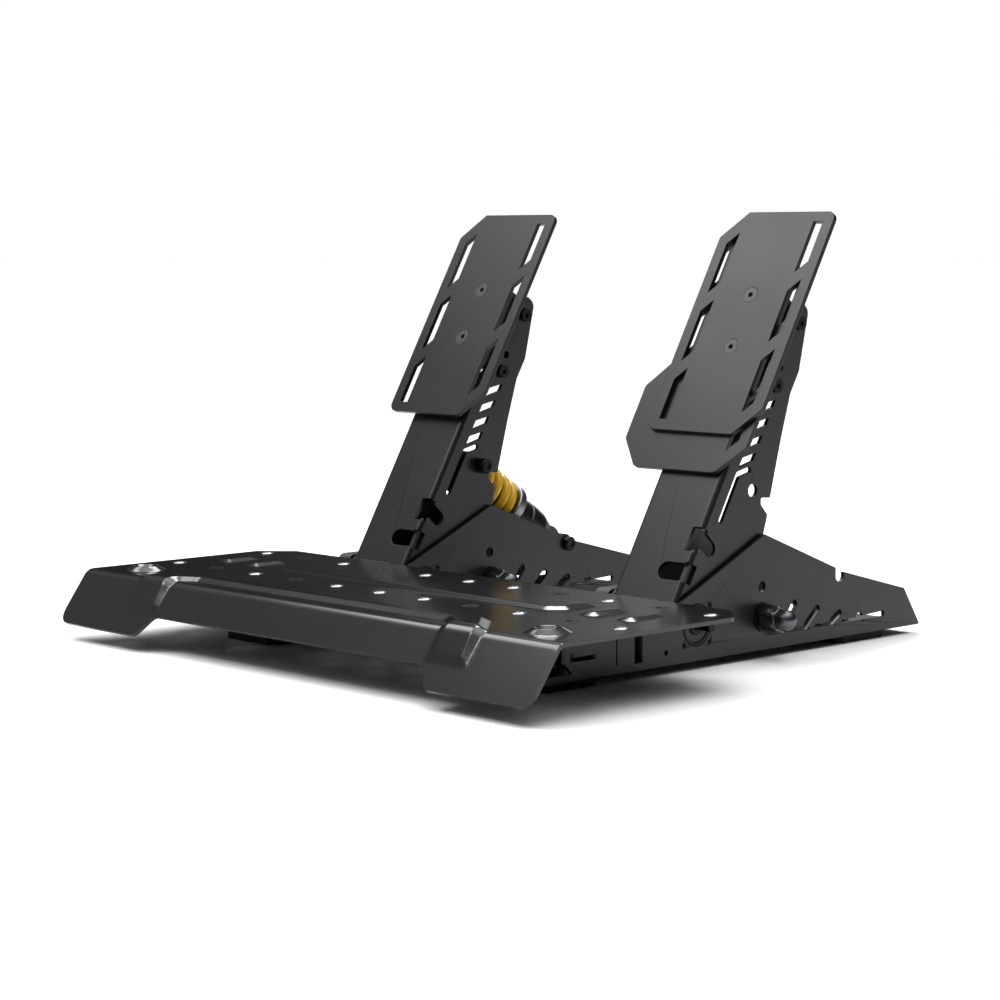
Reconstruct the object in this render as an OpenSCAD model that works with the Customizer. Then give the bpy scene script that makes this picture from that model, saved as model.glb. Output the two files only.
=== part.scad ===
// Two-pedal set for a driving simulator: heel plate, two channel brackets,
// throttle and brake arms with bolted face plates, and a spring damper on the brake.
// Lengths in millimetres, +Z up, the driver sits at -Y. The origin is on the floor
// in the middle of the footprint.

/* [Heel plate] */
// Width of the heel plate
plate_w = 430; // [416:1:470]
// Rear edge of the heel plate behind the rear hole row
plate_rear = 22; // [15:0.5:26]
// Distance from the rear hole row forward to the start of the front bend
bend_start = 131; // [128:0.5:140]
// Outer radius of the front bend
bend_r = 8; // [6:0.5:10]
// Sheet thickness of the heel plate
plate_t = 2.5; // [2:0.1:3]
// Lean of the front lip from the vertical
lip_lean = 36; // [20:0.5:40]
// Height of the lip's outer tabs below the plate's top
tab_drop = 32; // [28:0.5:36]
// Height of the lip's middle below the plate's top
lip_drop = 20; // [16:0.5:26]
// Chamfer of the rear corners
rear_chamfer = 19.5; // [10:0.5:25]
// Hole pitch across the plate
hole_pitch = 40; // [38:0.5:41]
// Holes in each row
hole_count = 11; // [11:1:11]
// Distance between the two hole rows
row_gap = 73.2; // [70:0.1:76]
// Diameter of the holes
hole_d = 7; // [5:0.1:8]
// Height of the middle and side ribs
rib_h = 1.8; // [1:0.1:2.4]
// Height of the front press
press_h = 2.7; // [1.5:0.1:2.8]
// Width of a sloped rib wall
rib_slope = 4.5; // [3:0.1:5]
// Hole in the raised front dimples
dimple_hole_d = 8.2; // [6:0.1:10]
// Distance between the two front dimples
dimple_gap = 366; // [356:1:380]
// Distance from the rear hole row to the dimples
dimple_y = 112.5; // [110:0.5:114]

/* [Brackets] */
// Distance between the two pedals
pedal_gap = 240; // [236:1:250]
// Outer width of a bracket
bracket_w = 57.5; // [56:0.1:60]
// Sheet thickness of brackets and arms
sheet_t = 2.5; // [2:0.1:2.8]
// Depth of the bracket's underside below the plate's top
bracket_drop = 37.6; // [36:0.1:40]
// Height of the bracket's peak above the plate's top
peak_z = 33.2; // [31:0.1:36]
// Position of the peak behind the rear hole row
peak_y = 106.4; // [104:0.1:108]
// Rear end of the bracket behind the rear hole row
bracket_rear = 260.7; // [255:0.1:270]
// Width of an outward top flange, measured from the bracket's wall
flange_w = 21; // [18:0.5:24]

/* [Feet] */
// Width and length of a rubber foot
foot_w = 50; // [40:0.5:54]
// Thickness of a rubber foot
foot_h = 5.2; // [4:0.1:8]

/* [Pedals] */
// Pivot position behind the rear hole row
pivot_y = 45.6; // [45:0.1:47]
// Pivot depth below the plate's top
pivot_drop = 16; // [15.6:0.1:17]
// Gap between an arm's side and the bracket's wall
arm_gap = 0.75; // [0.6:0.05:1.2]
// Lean of the arms from the vertical
arm_lean = 29.85; // [29:0.05:31]
// Height of the arm's front face ahead of the pivot
face_w = 21; // [20.5:0.1:21.5]
// Diameter of the pivot shafts
shaft_d = 12; // [10:0.5:14]
// Distance from the pivot to the middle of a face plate
pad_s = 188.5; // [186:0.5:190]
// Width of a face plate
pad_w = 86; // [84:0.5:96]
// Length of a face plate
pad_l = 153; // [150:0.5:160]
// Thickness of a face plate
pad_t = 3; // [2:0.1:3.2]
// Distance between the two face plate screws
pad_screw_gap = 36; // [30:0.5:40]

/* [Damper] */
// Front damper pin behind the rear hole row
damper_front_y = 98.5; // [97:0.1:99]
// Front damper pin above the plate's top
damper_front_z = 60; // [59:0.1:62]
// Rear damper pin behind the rear hole row
damper_rear_y = 178.7; // [177:0.1:180]
// Rear damper pin above the plate's top
damper_rear_z = 1.3; // [1:0.1:1.6]
// Mean diameter of the yellow spring
coil_d = 29.5; // [28:0.1:31]
// Wire thickness of the yellow spring
coil_wire = 5.2; // [4:0.1:5.4]
// Number of curls in the yellow spring
coil_turns = 4.5; // [4:0.5:4.5]

/* [Hidden] */
$fn = 48;

// Colours of the finishes
powder_black = "#2b2c2e";
zinc_black = "#18191a";
rubber_black = "#141414";
steel_grey = "#8d9094";
spring_yellow = "#e5a410";

// Corner and cut sizes shared by several pieces
eps = 0.1;
running_gap = 0.05;
seat_gap = 0.02;
wall_in = bracket_w / 2 - sheet_t;
wall_out = bracket_w / 2;
arm_w = 2 * (wall_in - arm_gap);
head_gap = 0.08;
row_span = hole_pitch * (hole_count - 1);
brake_x = -pedal_gap / 2;
throttle_x = pedal_gap / 2;
floor_top = -bracket_drop + sheet_t;
plate_screw_x = pedal_gap / 2 - hole_pitch;

// The front bend and lip, seen from the side
bend_sweep = 90 - lip_lean;
bend_end_y = -bend_start - bend_r * sin(bend_sweep);
bend_end_z = -bend_r + bend_r * cos(bend_sweep);
lip_front = bend_end_y - (tab_drop + bend_end_z) * tan(lip_lean);
lip_len = (tab_drop + bend_end_z) / cos(lip_lean);
y_mid = (bracket_rear + lip_front) / 2;
plate_top = bracket_drop + foot_h;

// Pivot parts, measured outwards from the middle of a bracket
hub_half = arm_w / 2 - sheet_t + eps;
carrier_in = hub_half + 0.35;
carrier_r = 18;
carrier_lip = 0.6;
bearing_r = 10.5;
boss_r = 12.5;
boss_hole_r = 12.75;
carrier_screw_gap = 22.3;
carrier_screw_r = 1.5;
stub_len = 12;
stub_r = 3;
magnet_r = 4;
magnet_t = 3;
housing_w = 34;
housing_t = 11;
board_t = 1.6;

// Cross bolt behind the pivot
bolt_y = 106;
bolt_z = -17.5;
bolt_r = 4;
washer_t = 1.6;
nut_across = 14;
nut_h = 11;
dome_len = 11.5;
sleeve_r = 8;

// Face plate stack, measured ahead of the pivot along the arm's depth
pad_back = face_w + 4;
lower_plate_t = pad_t;
pad_bracket_front = pad_back - lower_plate_t;
pad_bracket_half = arm_w / 2 - sheet_t - 0.2;
pad_bracket_low = 151;
pad_bracket_high = 209;
pad_screw_r = 2.5;
pad_head_r = 5.3;

// Damper line and stations along it from the front pin
damper_dy = damper_rear_y - damper_front_y;
damper_dz = damper_rear_z - damper_front_z;
damper_len = norm([damper_dy, damper_dz]);
damper_turn = atan2(damper_dy, damper_dz);
pin_r = 4;
rear_pin_r = 3.85;
notch_r = rear_pin_r + running_gap;
open_pivot_gap = 0.35;
seat_end = 12;
seat_r = 17;
spring_len = 37;
collar_start = seat_end + spring_len + 0.2;
collar_t = 10;
collar_r = 19;
tube_start = 28;
tube_r = 9.5;
rod_r = 5;
rod_end = 60;
barrel_start = collar_start + collar_t + 0.2;
barrel_r = 15.5;
barrel_end = 80;
eye_r = 11;
eye_half = 11;

// Unit vector, and a planar corner rounded to an arc
function unit(v) = v / norm(v);
function wrap(a) = ((a % 360) + 540) % 360 - 180;
function flat(p) = [p[0], p[1]];
function corner(a, b, c, r, n) =
    let(u = unit(flat(a) - flat(b)), v = unit(flat(c) - flat(b)), half = acos(u * v) / 2,
        mid = flat(b) + unit(u + v) * r / sin(half),
        first = flat(b) + u * r / tan(half) - mid, last = flat(b) + v * r / tan(half) - mid,
        start = atan2(first[1], first[0]), turn = wrap(atan2(last[1], last[0]) - start))
    [for (k = [0:n]) mid + r * [cos(start + turn * k / n), sin(start + turn * k / n)]];

// Outline from points [x, y, corner radius]
function rounded(p, n = 6) =
    [for (i = [0:len(p) - 1])
        let(b = p[i], a = p[(i + len(p) - 1) % len(p)], c = p[(i + 1) % len(p)])
        each (b[2] > 0 ? corner(a, b, c, b[2], n) : [flat(b)])];

// Outline moved inwards by d, for points that run anticlockwise
function inset(p, d) =
    [for (i = [0:len(p) - 1])
        let(b = p[i], u = unit(b - p[(i + len(p) - 1) % len(p)]), v = unit(p[(i + 1) % len(p)] - b),
            nu = [-u[1], u[0]], nv = [-v[1], v[0]])
        b + (nu + nv) * d / (1 + nu * nv)];

// A path mirrored to the other side of x = 0 and joined to itself
function both_sides(p) = concat(p, [for (i = [len(p) - 1:-1:0]) [-p[i][0], p[i][1], p[i][2]]]);

// Closed skin over rings of equal point counts; lids split a hollow end into convex faces
module skin(rings, lids = []) {
    n = len(rings[0]);
    m = len(rings);
    caps = len(lids) > 0 ? lids : [[for (i = [0:n - 1]) i]];
    polyhedron(points = [for (r = rings) each r],
        faces = concat(caps,
            [for (c = caps) [for (i = [len(c) - 1:-1:0]) (m - 1) * n + c[i]]],
            [for (j = [0:m - 2], i = [0:n - 1]) [j * n + i, (j + 1) * n + i, (j + 1) * n + (i + 1) % n]],
            [for (j = [0:m - 2], i = [0:n - 1]) [j * n + i, (j + 1) * n + (i + 1) % n, j * n + (i + 1) % n]]));
}

// Tube of radius r along path points, its rings squared to the path
function tube_ring(path, i, r, sides, ref) =
    let(a = path[max(i - 1, 0)], b = path[min(i + 1, len(path) - 1)], t = unit(b - a),
        n1 = unit(cross(ref, t)), n2 = cross(t, n1))
    [for (k = [0:sides - 1]) path[i] + r * (n1 * cos(360 * k / sides) + n2 * sin(360 * k / sides))];
module tube(path, r, ref, sides = 6) {
    skin([for (i = [0:len(path) - 1]) tube_ring(path, i, r, sides, ref)]);
}

// Least gap that a tube leaves to itself, past the neighbouring rings
function self_gap(path, r, apart) =
    min([for (i = [0:len(path) - 1], j = [i + apart:1:len(path) - 1]) norm(path[i] - path[j])]) - 2 * r;

// Frames: the plate frame has its zero on the plate's top at the rear hole row
module seat() {
    translate([0, -y_mid, plate_top]) children();
}
module at_pedal(x) {
    seat() translate([x, 0, 0]) children();
}
module arm_frame(x) {
    at_pedal(x) translate([0, pivot_y, -pivot_drop]) rotate([-arm_lean, 0, 0]) children();
}
module damper_frame() {
    at_pedal(brake_x) translate([0, damper_front_y, damper_front_z]) rotate([-damper_turn, 0, 0]) children();
}

// A side outline drawn in depth and height, from x to x + t
module side(x, t) {
    translate([x, 0, 0]) rotate([90, 0, 90]) linear_extrude(t) children();
}
module both_walls(inner, outer) {
    for (m = [0, 1]) mirror([m, 0, 0]) side(inner, outer - inner) children();
}
// A rod along X from x0 to x1 at depth y and height z
module rod_x(x0, x1, r, y = 0, z = 0) {
    translate([x0, y, z]) rotate([0, 90, 0]) cylinder(h = x1 - x0, r = r);
}
// A slot from a to b in a side outline
module slot2d(a, b, w) {
    d = b - a;
    translate(a) rotate(atan2(d[1], d[0])) union() {
        translate([0, -w / 2]) square([norm(d), w]);
        circle(w / 2);
        translate([norm(d), 0]) circle(w / 2);
    }
}

// Heel plate: one pressed sheet
module sheet_section() {
    translate([-bend_start, -plate_t]) square([bend_start + plate_rear, plate_t]);
    intersection() {
        translate([-bend_start, -bend_r]) difference() {
            circle(bend_r);
            circle(bend_r - plate_t);
        }
        polygon([[-bend_start, -bend_r], [-bend_start, bend_r], [-bend_start - 2 * bend_r, bend_r],
            [-bend_start - 2 * bend_r * sin(bend_sweep), -bend_r + 2 * bend_r * cos(bend_sweep)]]);
    }
    translate([bend_end_y, bend_end_z]) rotate(-90 - lip_lean) square([lip_len + plate_t, plate_t]);
}
// Front view of the plate: two deep tabs and a shallower middle
tab_inner = 133.7;
tab_notch = 124;
tab_round = 8.5;
notch_round = 6;
module lip_mask() {
    half = [[plate_w / 2, 1, 0], [plate_w / 2, -tab_drop, tab_round], [tab_inner, -tab_drop, notch_round],
        [tab_notch, -lip_drop, notch_round]];
    translate([0, plate_rear + 1, 0]) rotate([90, 0, 0])
        linear_extrude(plate_rear + 1 - lip_front + bend_r) polygon(rounded(both_sides(half)));
}
// A pressed field with sloped walls, from z = -base to z = h
module pressed(outline, slope, h, base = 1, lids = []) {
    top = inset(outline, slope);
    skin([[for (q = outline) [q[0], q[1], -base]], [for (q = outline) [q[0], q[1], 0]],
        [for (q = top) [q[0], q[1], h]]], lids);
}
function chamfered(x0, x1, y0, y1, c) =
    [[x1, y0 + c], [x1, y1], [x0, y1], [x0, y0 + c], [x0 + c, y0], [x1 - c, y0]];
bar_half = 132;
bar_front = -55;
bar_rear = -21;
bar_corner = 10;
rib_x = [146, 175];
rib_w = 15;
rib_corner = 4;
press_rear = -106;
press_front = -125;
press_diag = 20;
leg_x = 140;
leg_base = 16.5;
leg_top = 9.5;
leg_inner_run = 10.5;
leg_fade_start = 9;
leg_fade_end = 18;
module plate_presses() {
    pressed(chamfered(-bar_half, bar_half, bar_front, bar_rear, bar_corner), rib_slope, rib_h);
    for (m = [-1, 1], x = rib_x)
        pressed(chamfered(m > 0 ? x : -x - rib_w, m > 0 ? x + rib_w : -x, bar_front + 1, bar_rear - 3,
            rib_corner), rib_slope, rib_h);
    in_x = leg_x - leg_base;
    out_x = leg_x + leg_base - 3;
    pressed([[bar_half, press_rear], [-bar_half, press_rear], [-out_x, -bend_start], [-in_x, -bend_start],
        [-in_x + leg_inner_run, press_front], [in_x - leg_inner_run, press_front], [in_x, -bend_start],
        [out_x, -bend_start]], rib_slope, press_h, lids = [[0, 1, 4, 5], [1, 2, 3, 4], [5, 6, 7, 0]]);
    for (m = [0, 1]) mirror([m, 0, 0]) press_leg();
}
// The front press carried over the bend and faded out on the lip
function leg_ring(y, z, a, h) =
    let(n = [0, -sin(a), cos(a)], p = [leg_x, y, z], low = -plate_t / 3)
    [p + [leg_base, 0, 0] + n * low, p + [leg_top, 0, 0] + n * h, p - [leg_top, 0, 0] + n * h,
        p - [leg_base, 0, 0] + n * low];
function lip_point(drop) = bend_end_y - (drop + bend_end_z) * tan(lip_lean);
module press_leg(steps = 6) {
    h = press_h - 0.05;
    skin(concat([leg_ring(press_front + 2, 0, 0, h)],
        [for (k = [0:steps]) let(a = bend_sweep * k / steps)
            leg_ring(-bend_start - bend_r * sin(a), -bend_r + bend_r * cos(a), a, h)],
        [leg_ring(lip_point(leg_fade_start), -leg_fade_start, bend_sweep, h),
            leg_ring(lip_point(leg_fade_end), -leg_fade_end, bend_sweep, -plate_t / 6)]));
}
dimple_base_r = 13.5;
dimple_rim_r = 7.5;
dimple_h = 3;
module dimple() {
    r = dimple_hole_d / 2;
    rotate_extrude() polygon([[r, -plate_t / 2], [dimple_base_r, -plate_t / 2], [dimple_base_r, 0],
        [dimple_rim_r, dimple_h], [dimple_rim_r - 0.8, dimple_h], [r, dimple_h / 2]]);
}
module dimple_under() {
    rotate_extrude() polygon([[0, -plate_t - eps], [dimple_base_r - 2, -plate_t - eps],
        [dimple_base_r - 2, -plate_t], [dimple_rim_r - 1.5, 0], [0, -plate_t / 2]]);
}
module heel_plate() color(powder_black) seat() {
    difference() {
        union() {
            intersection() {
                side(-plate_w / 2, plate_w) sheet_section();
                lip_mask();
            }
            plate_presses();
            for (m = [-1, 1]) translate([m * dimple_gap / 2, -dimple_y, 0]) dimple();
        }
        for (i = [0:hole_count - 1], y = [0, -row_gap])
            translate([i * hole_pitch - row_span / 2, y, -plate_t - 1])
                cylinder(h = plate_t + 2, d = hole_d);
        for (x = [-1, 1], p = [0, 1], y = [0, -row_gap])
            translate([x * (plate_screw_x + 2 * p * hole_pitch), y, 0]) {
                screw_cone(eps);
                translate([0, 0, -plate_t - 1]) cylinder(h = plate_t + 2, r = plate_shank_r + seat_gap);
            }
        for (m = [-1, 1]) translate([m * dimple_gap / 2, -dimple_y, 0]) {
            dimple_under();
            translate([0, 0, -plate_t - 1]) cylinder(h = plate_t + dimple_h + 2, d = dimple_hole_d);
        }
        for (m = [-1, 1]) translate([m * plate_w / 2, plate_rear, 0]) rotate(45)
            cube([rear_chamfer * sqrt(2), rear_chamfer * sqrt(2), 4 * plate_t], center = true);
    }
}

// Countersunk screws that hold the plate on the brackets' flanges
plate_head_r = 5.6;
plate_shank_r = 3;
plate_screw_len = 9;
module screw_cone(extra = 0) {
    translate([0, 0, -plate_t + 0.3]) cylinder(h = plate_t - 0.3, r1 = plate_shank_r, r2 = plate_head_r);
    translate([0, 0, 0]) cylinder(h = eps + extra, r = plate_head_r);
}
module heel_plate_screws() color(zinc_black) seat()
    for (x = [-1, 1], p = [0, 1], y = [0, -row_gap])
        translate([x * (plate_screw_x + 2 * p * hole_pitch), y, -seat_gap]) difference() {
            union() {
                translate([0, 0, -plate_t + 0.3])
                    cylinder(h = plate_t - 0.3, r1 = plate_shank_r - head_gap, r2 = plate_head_r - head_gap);
                translate([0, 0, -plate_screw_len]) cylinder(h = plate_screw_len - 1, r = plate_shank_r);
            }
            translate([0, 0, -1.6]) cylinder(h = 3, r = 2.2, $fn = 6);
        }

// Brackets: walls, floor, outward flanges and a cross wall, folded from one sheet
rail_front = -81;
rail_top = -33;
panel_front = -65;
bevel_y = 29.4;
tail_top_y = 244.7;
tail_top_z = -12.5;
floor_rear = 256;
flange_rear = 12;
slit_y = -22.8;
gap_front = -7.9;
gap_rear = -1.4;
hook_slots = [[137.3, -9.5, 124], [159.3, -14.7, 146.3], [181, -19.7, 171.5], [202.3, -25, 198]];
hook_bottom = -29;
hook_w = 5;
small_hole_r = 3.25;
extra_hole_r = 1.5;
module wall_outline() {
    polygon(rounded([[rail_front, -bracket_drop, 0], [bracket_rear, -bracket_drop, 1],
        [bracket_rear - 0.2, -bracket_drop + 1.6, 0], [tail_top_y, tail_top_z, 3],
        [damper_rear_y + notch_r, damper_rear_z + 2.2, 0], [damper_rear_y, damper_rear_z + 4, 0],
        [peak_y, peak_z, 2], [bevel_y, -plate_t, 0], [panel_front, -plate_t, 0],
        [panel_front, rail_top + 5.5, 0], [panel_front + 6, rail_top - 0.3, 0],
        [rail_front, rail_top - 0.3, 0]]));
}
module hook_slot(top_y, top_z, low_y) {
    low_z = hook_bottom + hook_w / 2;
    slot2d([top_y - hook_w / 2, max(top_z - hook_w / 2, low_z)], [low_y, low_z], hook_w);
    translate([low_y - 17, hook_bottom + 0.3]) square([17, 2]);
}
module wall_cuts() {
    translate([slit_y - 0.4, rail_top]) square([0.8, -rail_top - plate_t - 0.6]);
    translate([gap_front, rail_top]) square([gap_rear - gap_front, -rail_top - plate_t - 0.6]);
    translate([panel_front + 4.3, -26.5]) square([21, 2.4]);
    translate([panel_front + 4.3, -26.5]) square([2.4, 5]);
    for (h = hook_slots) hook_slot(h[0], h[1], h[2]);
    polygon([[196, -26.4], [224, -25], [224, -28.7], [201, -28.7]]);
    translate([pivot_y, -pivot_drop]) circle(boss_hole_r);
    for (a = [-1, 1], b = [-1, 1])
        translate([pivot_y + a * carrier_screw_gap / 2, -pivot_drop + b * carrier_screw_gap / 2])
            circle(carrier_screw_r + 0.1);
    translate([18.9, -29.7]) circle(extra_hole_r);
    translate([104.2, 1.4]) circle(small_hole_r);
    translate([bolt_y, bolt_z]) circle(bolt_r + 0.1);
    translate([damper_rear_y, damper_rear_z]) circle(notch_r);
    translate([damper_rear_y - notch_r, damper_rear_z]) square([2 * notch_r, 20]);
}
cross_wall_y = 13.5;
cross_wall_top = -5;
module bracket(x) color(powder_black) at_pedal(x) difference() {
    union() {
        both_walls(wall_in, wall_out) difference() {
            wall_outline();
            wall_cuts();
        }
        translate([-wall_out, rail_front, -bracket_drop])
            cube([bracket_w, floor_rear - rail_front, sheet_t]);
        for (m = [0, 1]) mirror([m, 0, 0]) translate([wall_in, 0, -plate_t - sheet_t])
            linear_extrude(sheet_t) polygon(rounded([[0, rail_front + 20, 0], [sheet_t, rail_front, 0],
                [sheet_t + flange_w, rail_front, 5], [sheet_t + flange_w, flange_rear, 5],
                [0, flange_rear, 0]]));
        translate([-wall_in, cross_wall_y, floor_top - eps])
            cube([2 * wall_in, sheet_t, cross_wall_top - floor_top]);
    }
    for (s = [-1, 1], y = [0, -row_gap])
        translate([s * hole_pitch, y, -plate_t - sheet_t - 1])
            cylinder(h = sheet_t + 1.5, r = plate_shank_r + seat_gap);
    for (f = foot_screw_places) translate([f[0], f[1], -bracket_drop - 1])
        cylinder(h = sheet_t + 2, r = foot_screw_r + seat_gap);
    for (y = rig_hole_ys) translate([0, y, -bracket_drop - 1]) cylinder(h = sheet_t + 2, r = rig_hole_r);
}
rig_hole_r = 3.3;
rig_hole_ys = [-10, 150];

// Rubber feet with one screw at each end
foot_ys = [-80, 183];
foot_l = 49;
foot_chamfer = 5;
foot_screw_r = 2;
foot_head_r = 3.8;
foot_screw_in = 12;
foot_screw_places = [for (y = foot_ys, s = [0, 1]) [0, y + (s == 0 ? foot_screw_in : foot_l - foot_screw_in)]];
module foot(x, y) color(rubber_black) at_pedal(x) translate([0, y, -bracket_drop - foot_h]) difference() {
    linear_extrude(foot_h) polygon([[-foot_w / 2, foot_chamfer], [-foot_w / 2 + foot_chamfer, 0],
        [foot_w / 2 - foot_chamfer, 0], [foot_w / 2, foot_chamfer], [foot_w / 2, foot_l - foot_chamfer],
        [foot_w / 2 - foot_chamfer, foot_l], [-foot_w / 2 + foot_chamfer, foot_l],
        [-foot_w / 2, foot_l - foot_chamfer]]);
    for (s = [foot_screw_in, foot_l - foot_screw_in]) translate([0, s, -eps]) {
        cylinder(h = foot_h + 2 * eps, r = foot_screw_r + 0.1);
        cylinder(h = foot_h / 2 + eps, r = foot_head_r + 0.2);
    }
}
module foot_screws() color(steel_grey) for (x = [brake_x, throttle_x]) at_pedal(x)
    for (f = foot_screw_places) translate([f[0], f[1], -bracket_drop - foot_h / 2]) {
        translate([0, 0, -1.6]) cylinder(h = 1.6, r = foot_head_r);
        translate([0, 0, -eps]) cylinder(h = foot_h / 2 + sheet_t + 2 + eps, r = foot_screw_r);
    }

// Arms: a bent channel with a welded hub, drawn in depth w and length s from the pivot
arm_top = 212;
arm_bend_r = 3;
web_low = -10;
web_high = 148;
hub_r = 10;
cheek_r = 13;
cheek_t = 3;
cheek_high = 40;
flange_clear_r = 19.5;
low_edge = 28;
window_s = [98.6, 110.3, 122.4, 134.8];
window_w = [-10.4, -1];
mount_screw_s = [156.5, 199.4];
mount_screw_w = -5.8;
mount_screw_r = 2.5;
module flange_outline() {
    low_out = [66 * cos(low_edge), 66 * sin(low_edge)];
    low_in = [29 * cos(low_edge), 29 * sin(low_edge)];
    c = cos(arm_lean);
    s = sin(arm_lean);
    difference() {
        polygon(rounded([[-face_w, web_low, 0], [-8, web_low, 0],
            [low_in[0] * c - low_in[1] * s, low_in[0] * s + low_in[1] * c, 3],
            [low_out[0] * c - low_out[1] * s, low_out[0] * s + low_out[1] * c, 4],
            [30.4, 74.3, 0], [27.8, 85.7, 0], [19.3, 88.2, 2], [17.1, 91.8, 1.5], [24.8, 95.5, 1],
            [15.5, 131.3, 8], [9.3, 158.8, 8], [9.5, 174.3, 8], [-1.5, arm_top - 1, 6],
            [-9, arm_top, 3], [-face_w + 4, arm_top - 6, 3], [-face_w + 4, web_high + 8, 2],
            [-face_w, web_high, 0]]));
        circle(flange_clear_r);
    }
}
module flange_cuts() {
    for (s = window_s) polygon([[window_w[0], s], [window_w[0], s + 6.5], [window_w[1], s + 14.7],
        [window_w[1], s + 9.2]]);
    slot2d([-9, 64], [-9, 94.5], 3.5);
    slot2d([-9, 94.5], [-1.5, 101.5], 3.5);
    for (s = mount_screw_s) translate([mount_screw_w, s]) circle(mount_screw_r + 0.1);
    translate([-7.5, 168.3]) circle(2.5);
    translate([damper_pin_w, damper_pin_s]) circle(pin_r + seat_gap);
}
damper_pin_w = (damper_front_y - pivot_y) * cos(arm_lean) - (damper_front_z + pivot_drop) * sin(arm_lean);
damper_pin_s = (damper_front_y - pivot_y) * sin(arm_lean) + (damper_front_z + pivot_drop) * cos(arm_lean);
corner_cut = [17.4, 38, 53.5];
low_cut = [8.8, 18.5, 29.8];
module corner_cuts() {
    translate([corner_cut[0], -face_w - 1, corner_cut[1]])
        cube([arm_w, 6, corner_cut[2] - corner_cut[1]]);
    side(arm_w / 2 - 1.5 * sheet_t, arm_w) slot2d([-face_w, 48], [-9, 45], 9.5);
    translate([low_cut[0], -face_w - 1, low_cut[1] + 5.6]) union() {
        translate([0, 0, -5.6]) cube([arm_w, 4.5, low_cut[2] - low_cut[1]]);
        rotate([-90, 0, 0]) cylinder(h = 4.5, r = (low_cut[2] - low_cut[1]) / 2);
    }
    side(arm_w / 2 - 1.5 * sheet_t, arm_w) translate([-face_w - 1, low_cut[1]])
        square([8, low_cut[2] - low_cut[1] + 1]);
}
module channel_section() {
    difference() {
        union() {
            translate([-arm_w / 2, -face_w + arm_bend_r]) square([arm_w, 90]);
            translate([-arm_w / 2 + arm_bend_r, -face_w]) square([arm_w - 2 * arm_bend_r, 90]);
            for (m = [-1, 1]) translate([m * (arm_w / 2 - arm_bend_r), -face_w + arm_bend_r])
                circle(arm_bend_r);
        }
        translate([-arm_w / 2 + sheet_t, -face_w + sheet_t]) square([arm_w - 2 * sheet_t, 100]);
    }
}
module arm(x) color(powder_black) arm_frame(x) difference() {
    union() {
        difference() {
            intersection() {
                translate([0, 0, web_low]) linear_extrude(arm_top - web_low) channel_section();
                side(-arm_w, 2 * arm_w) flange_outline();
            }
            side(-arm_w, 2 * arm_w) flange_cuts();
            corner_cuts();
            translate([-arm_w / 2 + sheet_t, -face_w - 1, web_high])
                cube([arm_w - 2 * sheet_t, 8, arm_top - web_high]);
        }
        rod_x(-hub_half, hub_half, hub_r);
        for (m = [0, 1]) mirror([m, 0, 0]) side(hub_half - cheek_t, cheek_t) hull() {
            circle(cheek_r);
            translate([-face_w + sheet_t - eps, web_low]) square([1, cheek_high - web_low]);
        }
    }
    rod_x(-arm_w, arm_w, shaft_d / 2 + seat_gap);
}

// Pivot shaft, turning with the arm, with a stub on the right and a magnet on the left
shaft_left = wall_out + 0.2;
module pivot_shaft(x) color(zinc_black) at_pedal(x) union() {
    rod_x(-shaft_left, wall_out + 0.2, shaft_d / 2, pivot_y, -pivot_drop);
    rod_x(wall_out, wall_out + stub_len, stub_r, pivot_y, -pivot_drop);
}
module magnet(x) color(steel_grey) at_pedal(x)
    rod_x(-shaft_left - magnet_t, -shaft_left, magnet_r, pivot_y, -pivot_drop);
module carrier_places() {
    for (a = [-1, 1], b = [-1, 1])
        translate([0, pivot_y + a * carrier_screw_gap / 2, -pivot_drop + b * carrier_screw_gap / 2])
            children();
}
module bearing_carriers(x) color(zinc_black) at_pedal(x) for (m = [0, 1]) mirror([m, 0, 0]) difference() {
    union() {
        rod_x(carrier_in, wall_in, carrier_r, pivot_y, -pivot_drop);
        rod_x(wall_in - eps, wall_out, boss_r, pivot_y, -pivot_drop);
    }
    rod_x(carrier_in + carrier_lip, wall_out + 1, bearing_r + seat_gap, pivot_y, -pivot_drop);
    rod_x(carrier_in - 1, wall_out, shaft_d / 2 + 2, pivot_y, -pivot_drop);
    carrier_places() rod_x(carrier_in - 1, wall_out, carrier_screw_r + seat_gap);
}
bearing_len = 4;
module bearings(x) color(steel_grey) at_pedal(x) for (m = [0, 1]) mirror([m, 0, 0]) difference() {
    rod_x(carrier_in + carrier_lip, carrier_in + carrier_lip + bearing_len, bearing_r, pivot_y, -pivot_drop);
    rod_x(0, wall_out + 1, shaft_d / 2 + running_gap, pivot_y, -pivot_drop);
}
module carrier_screws(x) color(zinc_black) at_pedal(x) carrier_places() difference() {
    rod_x(carrier_in + 0.3, wall_out - 0.2, carrier_screw_r);
    translate([wall_out, 0, 0]) rotate([0, 90, 0]) cylinder(h = 3, r = 0.9, $fn = 6, center = true);
}

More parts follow.
